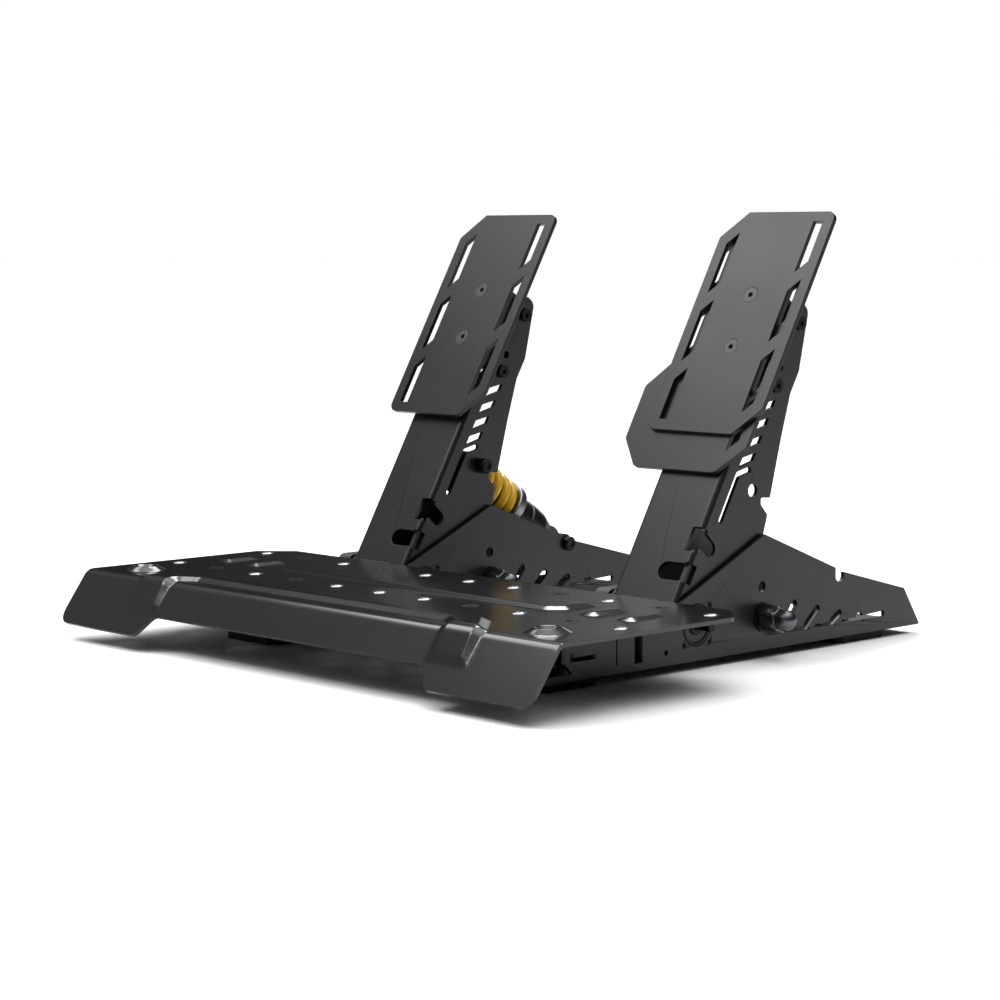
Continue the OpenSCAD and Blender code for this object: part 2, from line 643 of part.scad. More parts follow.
// Sensor on the left wall: cap, board and its four long screws
housing_wall = 2;
housing_floor = 2.2;
board_w = 27;
board_x = 7;
module sensor_housing(x) color(zinc_black) at_pedal(x) translate([-wall_out, pivot_y, -pivot_drop]) difference() {
    side(-housing_t, housing_t) polygon(rounded([[-housing_w / 2, -housing_w / 2, 5],
        [housing_w / 2, -housing_w / 2, 5], [housing_w / 2, housing_w / 2, 5], [-housing_w / 2, housing_w / 2, 5]]));
    side(-housing_t + housing_floor, housing_t) difference() {
        square([housing_w - 2 * housing_wall, housing_w - 2 * housing_wall], center = true);
        for (a = [-1, 1], b = [-1, 1]) translate([a * carrier_screw_gap / 2, b * carrier_screw_gap / 2])
            circle(carrier_screw_r + 1.6);
    }
    for (a = [-1, 1], b = [-1, 1]) translate([0, a * carrier_screw_gap / 2, b * carrier_screw_gap / 2])
        rod_x(-housing_t - 1, 1, carrier_screw_r + 0.1);
}
module sensor_board(x) color("#1d5a3a") at_pedal(x)
    translate([-wall_out - housing_t + housing_floor, pivot_y, -pivot_drop]) side(0, board_t) difference() {
        square(board_w, center = true);
        for (a = [-1, 1], b = [-1, 1]) translate([a * carrier_screw_gap / 2, b * carrier_screw_gap / 2])
            circle(carrier_screw_r + 1.9);
    }
module sensor_screws(x) color(zinc_black) at_pedal(x) carrier_places() difference() {
    union() {
        rod_x(-wall_out - housing_t, -carrier_in - 0.3, carrier_screw_r);
        rod_x(-wall_out - housing_t - 2, -wall_out - housing_t, carrier_screw_r + 1.2);
    }
    translate([-wall_out - housing_t - 2, 0, 0]) rotate([0, 90, 0])
        cylinder(h = 2.4, r = 1.2, $fn = 6, center = true);
}

// Cross bolt with washer, dome nut and rubber sleeve
module cross_bolt(x) color(zinc_black) at_pedal(x) difference() {
    union() {
        rod_x(-wall_out - 5.3, wall_out + washer_t + nut_h, bolt_r, bolt_y, bolt_z);
        translate([-wall_out - 5.3, bolt_y, bolt_z]) rotate([0, 90, 0]) rotate(30)
            cylinder(h = 5.3, r = 13 / sqrt(3), $fn = 6);
    }
}
module bolt_washer(x) color(zinc_black) at_pedal(x) difference() {
    rod_x(wall_out, wall_out + washer_t, 9, bolt_y, bolt_z);
    rod_x(wall_out - 1, wall_out + washer_t + 1, bolt_r + 0.1, bolt_y, bolt_z);
}
module dome_nut(x) color(zinc_black) at_pedal(x) translate([wall_out + washer_t, bolt_y, bolt_z])
    rotate([0, 90, 0]) difference() {
        union() {
            rotate(30) cylinder(h = nut_h, r = nut_across / sqrt(3), $fn = 6);
            cylinder(h = nut_h + dome_len - nut_across * 0.44, r = nut_across * 0.44);
            translate([0, 0, nut_h + dome_len - nut_across * 0.44]) sphere(nut_across * 0.44);
        }
        translate([0, 0, -1]) cylinder(h = nut_h + 1.5, r = bolt_r + seat_gap);
    }
module stop_sleeve(x) color(rubber_black) at_pedal(x) difference() {
    rod_x(-wall_in + 0.2, wall_in - 0.2, sleeve_r, bolt_y, bolt_z);
    rod_x(-wall_out, wall_out, bolt_r + seat_gap, bolt_y, bolt_z);
}

// Rubber buffer on the cross wall: it reaches up behind the plate's rear edge, where the arm's face rests on
// it, and stays ahead of the face's sweep below
buffer_half = 15;
buffer_high = -0.8;
buffer_touch = -2.3;
buffer_low = -10.6;
buffer_foot = 2.9;
buffer_gap = 0.6;
function face_y(z) = pivot_y + (z + pivot_drop) * tan(arm_lean) - face_w / cos(arm_lean);
module rest_buffer(x) color(rubber_black) at_pedal(x) side(-buffer_half, 2 * buffer_half)
    polygon([[cross_wall_y + sheet_t, buffer_low], [cross_wall_y + sheet_t + buffer_foot, buffer_low],
        [face_y(buffer_touch) - 0.4, buffer_touch - 0.1], [face_y(buffer_high) - 0.3, buffer_high],
        [plate_rear + buffer_gap, buffer_high], [plate_rear + buffer_gap, -plate_t - buffer_gap],
        [cross_wall_y + sheet_t, -plate_t - buffer_gap]]);

// Bracket between the flanges that carries the face plates
module pad_bracket(x) color(powder_black) arm_frame(x) difference() {
    side(-pad_bracket_half, 2 * pad_bracket_half) polygon(rounded([[-pad_bracket_front, pad_bracket_low, 0],
        [-6, pad_bracket_low, 4], [0.5, pad_bracket_low + 4, 4], [0.5, pad_bracket_high - 7, 4],
        [-6, pad_bracket_high, 4], [-pad_bracket_front, pad_bracket_high, 0]]));
    translate([-pad_bracket_half + sheet_t, -pad_bracket_front + sheet_t, pad_bracket_low - 1])
        cube([2 * (pad_bracket_half - sheet_t), 40, pad_bracket_high]);
    for (s = mount_screw_s) rod_x(-arm_w, arm_w, mount_screw_r + seat_gap, mount_screw_w, s);
    pad_screw_places() translate([0, 0, -1]) cylinder(h = 20, r = pad_screw_r + seat_gap);
}
// Face plate screws, seen along the screw from the front
module pad_screw_places() {
    for (m = [-1, 1]) translate([0, -pad_back - pad_t, pad_s + m * pad_screw_gap / 2]) rotate([-90, 0, 0])
        children();
}
module pad_spacer() color(zinc_black) arm_frame(brake_x) difference() {
    translate([-10, -pad_back, pad_s - pad_screw_gap / 2 - 9])
        cube([20, pad_back - pad_bracket_front, pad_screw_gap + 18]);
    pad_screw_places() translate([0, 0, -1]) cylinder(h = 20, r = pad_screw_r + 0.2);
}
module pad_bracket_screws(x) color(zinc_black) arm_frame(x) for (m = [0, 1], s = mount_screw_s)
    mirror([m, 0, 0]) difference() {
        union() {
            rod_x(pad_bracket_half - sheet_t - 2, arm_w / 2, mount_screw_r, mount_screw_w, s);
            rod_x(arm_w / 2, arm_w / 2 + 2.6, mount_screw_r * 1.8, mount_screw_w, s);
        }
        translate([arm_w / 2 + 2.6, mount_screw_w, s]) rotate([0, 90, 0])
            cylinder(h = 3, r = mount_screw_r * 0.7, $fn = 6, center = true);
    }

// Face plates: two cut corners, two round ones and three slots along each side
pad_cut_x = 17;
pad_cut_y = 18;
slot_in = 28;
slot_out = 35.3;
slot_first = -61.5;
slot_pitch = 47.8;
slot_len = 35.1;
slot_rise = 7.6;
slot_limit = 69.3;
module pad_outline() {
    polygon(rounded([[-pad_w / 2, -pad_l / 2, 6], [pad_w / 2 - pad_cut_x, -pad_l / 2, 2],
        [pad_w / 2, -pad_l / 2 + pad_cut_y, 2], [pad_w / 2, pad_l / 2, 6],
        [-pad_w / 2 + pad_cut_x, pad_l / 2, 2], [-pad_w / 2, pad_l / 2 - pad_cut_y, 2]]));
}
module slot_row(from, to) {
    for (k = [from:to]) let(v = slot_first + k * slot_pitch) intersection() {
        polygon([[slot_in, v], [slot_out, v + slot_rise], [slot_out, v + slot_rise + slot_len],
            [slot_in, v + slot_len]]);
        translate([0, -pad_l]) square([pad_w, pad_l + slot_limit]);
    }
}
module plate_solid() {
    rotate([90, 0, 0]) linear_extrude(pad_t) children();
}
module face_plate(x) color(powder_black) arm_frame(x) difference() {
    translate([0, -pad_back, pad_s]) plate_solid() difference() {
        pad_outline();
        slot_row(0, 2);
        rotate(180) slot_row(0, 2);
    }
    pad_screw_places() {
        translate([0, 0, -eps]) cylinder(h = eps, r = pad_head_r);
        cylinder(h = pad_t - 0.3, r1 = pad_head_r, r2 = pad_screw_r);
        cylinder(h = pad_t + 1, r = pad_screw_r + 0.1);
    }
}
module face_screws(x) color(zinc_black) arm_frame(x) pad_screw_places() difference() {
    translate([0, 0, seat_gap]) union() {
        cylinder(h = pad_t - 0.3, r1 = pad_head_r - head_gap, r2 = pad_screw_r - head_gap);
        cylinder(h = pad_t + 7, r = pad_screw_r);
    }
    translate([0, 0, -1]) cylinder(h = 3, r = 1.8, $fn = 6);
}
// Second throttle plate, lower and to the left, behind the face plate. Its four upper slots are seen
// through those of the face plate, the fifth below it
lower_slot_w = 4.9;
lower_slot_len = 26;
lower_slot_rise = 5.1;
lower_slots = [[-38.5, 24.3], [-38.5, -21.6], [26.8, -2.3], [26.8, -47.5]];
lower_last = [24, -86];
lower_last_len = 32;
module lower_slot(place, w, len, rise) {
    translate(place) polygon([[0, 0], [w, rise], [w, rise + len], [0, len]]);
}
module lower_plate() color(powder_black) arm_frame(throttle_x) difference() {
    translate([0, -pad_back + lower_plate_t, pad_s]) plate_solid() difference() {
        polygon(rounded([[pad_w / 2 - 4, -83.2, 2], [pad_w / 2 - 4, 28, 2], [27, 40, 2], [-24, 40, 2],
            [-24, pad_l / 2 - 10.5, 2], [8.5 - pad_w / 2, pad_l / 2 - 10.5, 2],
            [-pad_w / 2, pad_l / 2 - 19.3, 2], [-pad_w / 2, -27, 2], [-46.5, -30.5, 3], [-60, -46, 4],
            [-60, -82.4, 4], [-44.4, -101, 5], [20.9, -101, 5]]));
        for (place = lower_slots) lower_slot(place, lower_slot_w, lower_slot_len, lower_slot_rise);
        lower_slot(lower_last, slot_out - slot_in, lower_last_len, slot_rise);
    }
    pad_screw_places() cylinder(h = 20, r = pad_screw_r + 0.2);
}

// Torsion spring round the throttle hub: front leg on the arm's face, rear leg on the floor
return_wire_r = 1.2;
return_mean_r = 12.7;
return_pitch = 3;
return_sweep = 1552;
return_steps = 34;
front_leg = 34;
rear_leg = 34;
return_half = return_pitch * return_sweep / 720;
function return_point(a) =
    [return_pitch * a / 360 - return_half, -return_mean_r * cos(a), -return_mean_r * sin(a)];
function return_path() =
    let(last = return_point(return_sweep),
        out = [0, sin(return_sweep), -cos(return_sweep)])
    concat([[-return_half, -face_w + sheet_t + return_wire_r + 0.3, front_leg],
        [-return_half, -face_w + sheet_t + return_wire_r + 0.3, front_leg - 6]],
        [for (k = [0:return_steps]) return_point(return_sweep * k / return_steps)],
        [last + out * rear_leg / 2, last + out * rear_leg]);
module return_spring() color(steel_grey) arm_frame(throttle_x) tube(return_path(), return_wire_r, [1, 0, 0]);

// Yellow compression spring: closed end turns and open middle turns, 8 rings to a curl
dead_turns = 0.75;
dead_pitch = coil_wire + 0.5;
coil_ring_count = 8;
coil_first = seat_end + coil_wire / 2 + eps;
coil_pitch = (spring_len - coil_wire - 2 * eps - 2 * dead_turns * dead_pitch) / (coil_turns - 2 * dead_turns);
function coil_z(t) = coil_first + dead_pitch * min(t, dead_turns)
    + coil_pitch * min(max(t - dead_turns, 0), coil_turns - 2 * dead_turns)
    + dead_pitch * max(t - coil_turns + dead_turns, 0);
function coil_path() = [for (k = [0:coil_turns * coil_ring_count]) let(t = k / coil_ring_count)
    [coil_d / 2 * cos(360 * t), coil_d / 2 * sin(360 * t), coil_z(t)]];
module damper_spring() color(spring_yellow) damper_frame() tube(coil_path(), coil_wire / 2, [0, 0, 1]);
echo(yellow_spring_gap = self_gap(coil_path(), coil_wire / 2, 6));
echo(return_spring_gap = self_gap(return_path(), return_wire_r, 6));

// Damper: eye with spring seat, rod, collar, barrel and its two pins
module damper_eye() color(zinc_black) damper_frame() difference() {
    union() {
        rod_x(-eye_half, eye_half, eye_r - 2);
        cylinder(h = seat_end, r = 6);
        translate([0, 0, seat_end - 2.5]) cylinder(h = 2.5, r = seat_r);
    }
    rod_x(-eye_half - 1, eye_half + 1, pin_r + open_pivot_gap);
}
module damper_rod() color(steel_grey) damper_frame()
    translate([0, 0, seat_end]) cylinder(h = rod_end - seat_end, r = rod_r);
collar_groove = 1.2;
module damper_collar() color(steel_grey) damper_frame() translate([0, 0, collar_start]) rotate_extrude()
    polygon([[tube_r + seat_gap, 0], [collar_r - 2, 0], [collar_r - 1, 1.2], [collar_r - 1, 2.4],
        [collar_r, 2.8], [collar_r, collar_t - 1], [collar_r - 1, collar_t], [tube_r + seat_gap, collar_t]]);
module damper_body() color(rubber_black) damper_frame() difference() {
    union() {
        translate([0, 0, tube_start]) cylinder(h = barrel_start - tube_start, r = tube_r);
        translate([0, 0, barrel_start]) cylinder(h = barrel_end - barrel_start, r = barrel_r);
        translate([0, 0, barrel_end]) cylinder(h = damper_len - barrel_end - 6, r1 = barrel_r, r2 = eye_r);
        translate([0, 0, damper_len]) rod_x(-eye_half, eye_half, eye_r);
    }
    translate([0, 0, tube_start - 1]) cylinder(h = barrel_end - tube_start - 3, r = rod_r + running_gap);
    translate([0, 0, damper_len]) rod_x(-eye_half - 1, eye_half + 1, rear_pin_r + running_gap);
}
pin_head_r = 5;
front_head = 8;
rear_head = 4;
clip_t = 2.5;
module damper_front_pin() color(zinc_black) at_pedal(brake_x) union() {
    rod_x(-arm_w / 2, arm_w / 2 + front_head, pin_r, damper_front_y, damper_front_z);
    rod_x(arm_w / 2, arm_w / 2 + front_head, pin_head_r, damper_front_y, damper_front_z);
    rod_x(-arm_w / 2 - clip_t, -arm_w / 2, pin_head_r, damper_front_y, damper_front_z);
}
module damper_rear_pin() color(zinc_black) at_pedal(brake_x) union() {
    rod_x(-wall_out - clip_t, wall_out + rear_head, rear_pin_r, damper_rear_y, damper_rear_z);
    rod_x(wall_out, wall_out + rear_head, pin_head_r, damper_rear_y, damper_rear_z);
    rod_x(-wall_out - clip_t, -wall_out, pin_head_r, damper_rear_y, damper_rear_z);
}
spacer_r = 6.5;
spacer_gap = 0.3;
module pin_spacers(outer, r, y, z) color(zinc_black) at_pedal(brake_x)
    for (m = [0, 1]) mirror([m, 0, 0]) difference() {
        rod_x(eye_half + spacer_gap, outer - 0.1, spacer_r, y, z);
        rod_x(0, outer + 1, r + seat_gap, y, z);
    }

// Control box under the heel plate, between the brackets
box_half = 50;
box_front = -64;
box_rear = -14;
box_h = 20;
box_wall = 2;
lid_t = 2;
post_h = 4;
post_in = 6;
socket_h = 9;
usb_w = 12;
port_w = 13;
port_xs = [-30, -10, 10];
usb_x = 33;
socket_deep = 12;
module post_places() {
    for (m = [-1, 1], y = [box_front + box_wall + post_in, box_rear - box_wall - post_in - 8])
        translate([m * (box_half - box_wall - post_in), y, 0]) children();
}
module control_box() color(zinc_black) seat() translate([0, 0, -plate_t - lid_t - box_h]) difference() {
    union() {
        difference() {
            translate([-box_half, box_front, 0]) cube([2 * box_half, box_rear - box_front, box_h]);
            translate([-box_half + box_wall, box_front + box_wall, box_wall])
                cube([2 * (box_half - box_wall), box_rear - box_front - 2 * box_wall, box_h]);
        }
        post_places() cylinder(h = box_wall + post_h, r = 3);
    }
    for (x = port_xs) translate([x - port_w / 2 - 0.2, box_rear - box_wall - 1, box_wall + post_h + board_t - 0.2])
        cube([port_w + 0.4, box_wall + 2, socket_h + 0.4]);
    translate([usb_x - usb_w / 2 - 0.2, box_rear - box_wall - 1, box_wall + post_h + board_t - 0.2])
        cube([usb_w + 0.4, box_wall + 2, socket_h + 0.4]);
}
module control_box_lid() color(zinc_black) seat()
    translate([-box_half, box_front, -plate_t - lid_t]) cube([2 * box_half, box_rear - box_front, lid_t]);
module control_board() color("#1d5a3a") seat()
    translate([-box_half + box_wall + 1, box_front + box_wall + 1, -plate_t - lid_t - box_h + box_wall + post_h])
        cube([2 * (box_half - box_wall - 1), box_rear - box_front - 2 * box_wall - 2, board_t]);
module one_socket(x, w, bore_w, bore_h) {
    translate([x - w / 2, box_rear - socket_deep, 0]) difference() {
        cube([w, socket_deep, socket_h]);
        translate([(w - bore_w) / 2, 3, (socket_h - bore_h) / 2]) cube([bore_w, socket_deep, bore_h]);
    }
}
module socket_block() color(steel_grey) seat()
    translate([0, 0, -plate_t - lid_t - box_h + box_wall + post_h + board_t]) {
        for (x = port_xs) one_socket(x, port_w, port_w - 2.4, socket_h - 2.6);
        one_socket(usb_x, usb_w, usb_w - 2.4, socket_h - 3);
    }

heel_plate();
heel_plate_screws();
bracket(brake_x);  // brake_bracket
bracket(throttle_x);  // throttle_bracket
foot(brake_x, foot_ys[0]);  // brake_front_foot
foot(brake_x, foot_ys[1]);  // brake_rear_foot
foot(throttle_x, foot_ys[0]);  // throttle_front_foot
foot(throttle_x, foot_ys[1]);  // throttle_rear_foot
foot_screws();
arm(brake_x);  // brake_arm
arm(throttle_x);  // throttle_arm
pivot_shaft(brake_x);  // brake_pivot_shaft
pivot_shaft(throttle_x);  // throttle_pivot_shaft
bearing_carriers(brake_x);  // brake_bearing_carriers
bearing_carriers(throttle_x);  // throttle_bearing_carriers
bearings(brake_x);  // brake_bearings
bearings(throttle_x);  // throttle_bearings
for (x = [brake_x, throttle_x]) carrier_screws(x);
for (x = [brake_x, throttle_x]) sensor_screws(x);
sensor_housing(brake_x);  // brake_sensor_housing
sensor_housing(throttle_x);  // throttle_sensor_housing
sensor_board(brake_x);  // brake_sensor_board
sensor_board(throttle_x);  // throttle_sensor_board
magnet(brake_x);  // brake_magnet
magnet(throttle_x);  // throttle_magnet
cross_bolt(brake_x);  // brake_cross_bolt
cross_bolt(throttle_x);  // throttle_cross_bolt
bolt_washer(brake_x);  // brake_bolt_washer
bolt_washer(throttle_x);  // throttle_bolt_washer
dome_nut(brake_x);  // brake_dome_nut
dome_nut(throttle_x);  // throttle_dome_nut
stop_sleeve(brake_x);  // brake_stop_sleeve
stop_sleeve(throttle_x);  // throttle_stop_sleeve
rest_buffer(brake_x);  // brake_rest_buffer
rest_buffer(throttle_x);  // throttle_rest_buffer
pad_bracket(brake_x);  // brake_pad_bracket
pad_bracket(throttle_x);  // throttle_pad_bracket
pad_spacer();  // brake_pad_spacer
pad_bracket_screws(brake_x);  // brake_pad_bracket_screws
pad_bracket_screws(throttle_x);  // throttle_pad_bracket_screws
face_plate(brake_x);  // brake_face_plate
face_plate(throttle_x);  // throttle_face_plate
lower_plate();  // throttle_lower_plate
face_screws(brake_x);  // brake_face_screws
face_screws(throttle_x);  // throttle_face_screws
return_spring();  // throttle_return_spring
damper_body();
damper_collar();
damper_rod();
damper_eye();
damper_spring();
damper_front_pin();
damper_rear_pin();
pin_spacers(arm_w / 2 - sheet_t, pin_r, damper_front_y, damper_front_z);  // damper_front_spacers
pin_spacers(wall_in, rear_pin_r, damper_rear_y, damper_rear_z);  // damper_rear_spacers
control_box();
control_box_lid();
control_board();
socket_block();
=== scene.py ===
"""Two-pedal set for a driving simulator: the finished look of each piece over its CAD frame.

Sizes inside the functions are millimetres. The seat frame has its zero on the heel plate's
top at the rear hole row, and every finished mesh is moved from there into the part's frame.
"""

import math

import bmesh
import bpy
import numpy as np
from bpy.props import FloatProperty, FloatVectorProperty, PointerProperty
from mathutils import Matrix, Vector
from mathutils.geometry import delaunay_2d_cdt


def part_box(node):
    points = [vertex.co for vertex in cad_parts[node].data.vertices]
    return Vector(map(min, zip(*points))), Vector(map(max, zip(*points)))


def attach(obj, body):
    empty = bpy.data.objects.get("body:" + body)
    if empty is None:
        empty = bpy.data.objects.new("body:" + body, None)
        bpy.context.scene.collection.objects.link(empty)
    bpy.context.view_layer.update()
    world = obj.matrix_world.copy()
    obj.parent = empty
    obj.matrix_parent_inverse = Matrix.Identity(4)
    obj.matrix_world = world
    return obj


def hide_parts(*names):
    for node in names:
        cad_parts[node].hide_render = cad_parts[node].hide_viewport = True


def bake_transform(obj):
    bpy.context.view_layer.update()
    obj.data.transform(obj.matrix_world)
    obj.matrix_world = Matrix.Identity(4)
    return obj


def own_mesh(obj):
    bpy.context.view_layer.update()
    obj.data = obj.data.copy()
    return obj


bl_info = {
    "name": "Driving Pedal Set",
    "version": (1, 0, 0),
    "blender": (4, 5, 0),
    "location": "3D View > Sidebar > Pedals",
    "description": "Finishes a two-pedal driving simulator set over its CAD frame",
    "category": "Object",
}

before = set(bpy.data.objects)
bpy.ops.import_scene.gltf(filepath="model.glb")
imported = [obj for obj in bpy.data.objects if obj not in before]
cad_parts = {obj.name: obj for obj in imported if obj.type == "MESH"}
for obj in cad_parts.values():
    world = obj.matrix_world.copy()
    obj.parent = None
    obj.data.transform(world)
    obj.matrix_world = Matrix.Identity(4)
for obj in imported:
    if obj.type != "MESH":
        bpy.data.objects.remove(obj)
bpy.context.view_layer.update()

MM = 0.001
PLATE_REAR = 22.0
DIMPLE_HEIGHT = 3.0
HEEL_HIGH = np.array(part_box("heel_plate")[1]) / MM
SEAT = np.array([0.0, HEEL_HIGH[1] - PLATE_REAR, HEEL_HIGH[2] - DIMPLE_HEIGHT])

BRAKE_X = -120.0
THROTTLE_X = 120.0
PIVOT = np.array([0.0, 45.6, -16.0])
ARM_LEAN = 29.85
DAMPER_FRONT = np.array([BRAKE_X, 98.5, 60.0])
DAMPER_REAR = np.array([BRAKE_X, 178.7, 1.3])
DAMPER_RUN = DAMPER_REAR - DAMPER_FRONT
DAMPER_LENGTH = float(np.linalg.norm(DAMPER_RUN))
DAMPER_TURN = math.degrees(math.atan2(DAMPER_RUN[1], DAMPER_RUN[2]))


# Places


def tipped(points, degrees, origin):
    """Points turned about X so that their +Z tips towards +Y by that angle, then carried to origin."""
    points = np.asarray(points, float)
    c, s = math.cos(math.radians(degrees)), math.sin(math.radians(degrees))
    y, z = points[..., 1], points[..., 2]
    return np.stack([points[..., 0], y * c + z * s, z * c - y * s], -1) + origin


def in_seat(points):
    """Seat frame, unturned."""
    return np.asarray(points, float)


def in_damper(points):
    """Damper frame: zero at the front pin, +Z towards the rear pin."""
    return tipped(points, DAMPER_TURN, DAMPER_FRONT)


def in_arm(x):
    """Arm frame at a pedal: zero at the pivot, +Z up the arm, +Y towards its open back."""
    return lambda points: tipped(points, ARM_LEAN, PIVOT + [x, 0, 0])


def along_x(points):
    """Turns a revolved shape's axis from +Z to +X."""
    return np.stack([points[..., 2], points[..., 0], points[..., 1]], -1)


# Shapes


def grid_faces(rows, columns, wrap=False):
    """Quads between the points of a grid, rows by columns, the last column joined to the first if wrap."""
    last = columns if wrap else columns - 1
    row, column = np.meshgrid(np.arange(rows - 1), np.arange(last), indexing="ij")
    here = row * columns + column
    right = row * columns + (column + 1) % columns
    return np.stack([here, right, right + columns, here + columns], -1).reshape(-1, 4)


def rounded(corners, steps=5):
    """Outline through corners (x, y, radius): each corner becomes an arc of that radius, tangent to both
    sides."""
    corners = np.asarray(corners, float)
    flat = corners[:, :2]
    before = np.roll(flat, 1, 0) - flat
    after = np.roll(flat, -1, 0) - flat
    before /= np.linalg.norm(before, axis=1)[:, None]
    after /= np.linalg.norm(after, axis=1)[:, None]
    half = np.arccos(np.clip((before * after).sum(1), -1, 1)) / 2
    out = []
    for place, u, v, h, radius in zip(flat, before, after, half, corners[:, 2]):
        if radius <= 0:
            out.append(place[None])
            continue
        middle = place + (u + v) / np.linalg.norm(u + v) * radius / math.sin(h)
        first = place + u * radius / math.tan(h) - middle
        last = place + v * radius / math.tan(h) - middle
        start = math.atan2(first[1], first[0])
        turn = (math.atan2(last[1], last[0]) - start + math.pi) % (2 * math.pi) - math.pi
        angle = start + turn * np.linspace(0, 1, steps + 1)
        out.append(middle + radius * np.stack([np.cos(angle), np.sin(angle)], -1))
    return np.concatenate(out)


def open_rounded(corners, steps=4):
    """The same for an open line, whose two ends stay sharp."""
    corners = np.asarray(corners, float)
    corners[[0, -1], 2] = 0
    return rounded(corners, steps)


def resampled(points, step, closed=True):
    """Points spread along a line at an even step or a little less."""
    points = np.asarray(points, float)
    if closed:
        points = np.concatenate([points, points[:1]])
    lengths = np.linalg.norm(np.diff(points, axis=0), axis=1)
    parts = [np.linspace(a, b, max(1, math.ceil(n / step)), endpoint=False)
             for a, b, n in zip(points[:-1], points[1:], lengths) if n > 1e-6]
    line = np.concatenate(parts)
    return line if closed else np.concatenate([line, points[-1:]])


def revolved(profile, sides=64):
    """A profile of (radius, z) spun round Z: point = (r cos a, r sin a, z)."""
    profile = np.asarray(profile, float)
    angle = np.linspace(0, 2 * np.pi, sides, endpoint=False)
    r, z = profile[:, 0, None], profile[:, 1, None] + 0 * angle
    points = np.stack([r * np.cos(angle), r * np.sin(angle), z], -1).reshape(-1, 3)
    return points, grid_faces(len(profile), sides, wrap=True)


# Rings of a tube's domed end, from its tip: share of the radius, and depth of the tip behind each ring
DOME_SIZES = np.array([0.0, 0.55, 0.85, 0.97, 1.0])
DOME_DEPTHS = np.array([0.35, 0.3, 0.18, 0.06, 0.0])


def tube(path, radius, up, sides=14):
    """A round section carried along a path: point = centre + r (first cos a + second sin a), where first is
    square to the path and to up. The ends close on a low dome."""
    path = np.asarray(path, float)
    tangent = np.gradient(path, axis=0)
    tangent /= np.linalg.norm(tangent, axis=1)[:, None]
    dome, back = radius * DOME_SIZES, radius * DOME_DEPTHS
    head = path[0] - tangent[0] * back[:, None]
    tail = path[-1] + tangent[-1] * (back - back[0])[::-1, None]
    centre = np.concatenate([head, path[1:-1], tail])
    size = np.concatenate([dome, np.full(len(path) - 2, radius), dome[::-1]])
    ends = [np.repeat(tangent[[end]], len(dome), 0) for end in (0, -1)]
    tangent = np.concatenate([ends[0], tangent[1:-1], ends[1]])
    first = np.cross(np.asarray(up, float), tangent)
    first /= np.linalg.norm(first, axis=1)[:, None]
    second = np.cross(tangent, first)
    angle = np.linspace(0, 2 * np.pi, sides, endpoint=False)
    around = first[:, None] * np.cos(angle)[:, None] + second[:, None] * np.sin(angle)[:, None]
    points = (centre[:, None] + around * size[:, None, None]).reshape(-1, 3)
    return points, grid_faces(len(centre), sides, wrap=True)


def joined(*parts):
    """Several (points, faces) as one."""
    start = 0
    points, faces = [], []
    for part_points, part_faces in parts:
        points.append(part_points)
        faces.extend((np.asarray(f) + start).tolist() for f in part_faces)
        start += len(part_points)
    return np.concatenate(points), faces


# Pieces


def tidy_mesh(mesh):
    """Merges doubles at poles and seams, drops collapsed faces and turns the rest outwards."""
    work = bmesh.new()
    work.from_mesh(mesh)
    bmesh.ops.remove_doubles(work, verts=work.verts, dist=1e-7)
    bmesh.ops.dissolve_degenerate(work, edges=work.edges, dist=1e-8)
    bmesh.ops.recalc_face_normals(work, faces=work.faces)
    work.to_mesh(mesh)
    work.free()


def add_piece(name, points, faces, place, body, slot, replaced=(), look=None, sharp=40.0):
    """A mesh in the part's frame with its slot's finish or another look, riding on its CAD body; edges
    sharper than sharp stay crisp."""
    mesh = bpy.data.meshes.new(name)
    placed = (place(points) + SEAT) * MM
    mesh.from_pydata(placed.tolist(), [], [list(f) for f in faces])
    mesh.update()
    tidy_mesh(mesh)
    mesh.shade_smooth()
    mesh.set_sharp_from_angle(angle=math.radians(sharp))
    mesh.materials.append(finish(look or slot))
    piece = bpy.data.objects.new(name, mesh)
    bpy.context.scene.collection.objects.link(piece)
    if body:
        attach(piece, body)
    if replaced:
        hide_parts(*replaced)
    return piece


def add_modifier(piece, kind, **settings):
    """A modifier with its settings."""
    modifier = piece.modifiers.new(kind.title(), kind)
    for key, value in settings.items():
        setattr(modifier, key, value)
    return modifier


# Finishes


def linear(hex_colour):
    """A six-digit sRGB hex colour as linear red, green and blue."""
    parts = np.array([int(hex_colour[i:i + 2], 16) for i in (1, 3, 5)]) / 255
    curve = ((parts + 0.055) / 1.055) ** 2.4
    return tuple(np.where(parts <= 0.04045, parts / 12.92, curve).tolist())


def add_node(tree, kind, inputs=None, **settings):
    """Adds a node with its own settings, and fills its inputs, each given by name or number, with a value or
    with a link from another node's output."""
    node = tree.nodes.new(kind)
    for key, value in settings.items():
        setattr(node, key, value)
    for key, value in (inputs or {}).items():
        socket = node.inputs[key]
        if isinstance(value, bpy.types.NodeSocket):
            tree.links.new(value, socket)
        elif socket.type == "RGBA":
            socket.default_value = (*value, 1.0)
        else:
            socket.default_value = value
    return node


def new_material(name):
    """An empty material, its node tree and its object coordinates."""
    material = bpy.data.materials.new(name)
    material.use_nodes = True
    tree = material.node_tree
    tree.nodes.clear()
    return material, tree, add_node(tree, "ShaderNodeTexCoord").outputs["Object"]


# Detail and roughness of the noise: smooth lumps as moulds and lacquers have, or the fine rings of a lathe,
# which blur the shine unevenly. Noise lies between the two ends of its span.
LUMPS = (2.0, 0.6)
LATHE = (4.0, 0.7)
NOISE_LOW, NOISE_HIGH = 0.3, 0.7


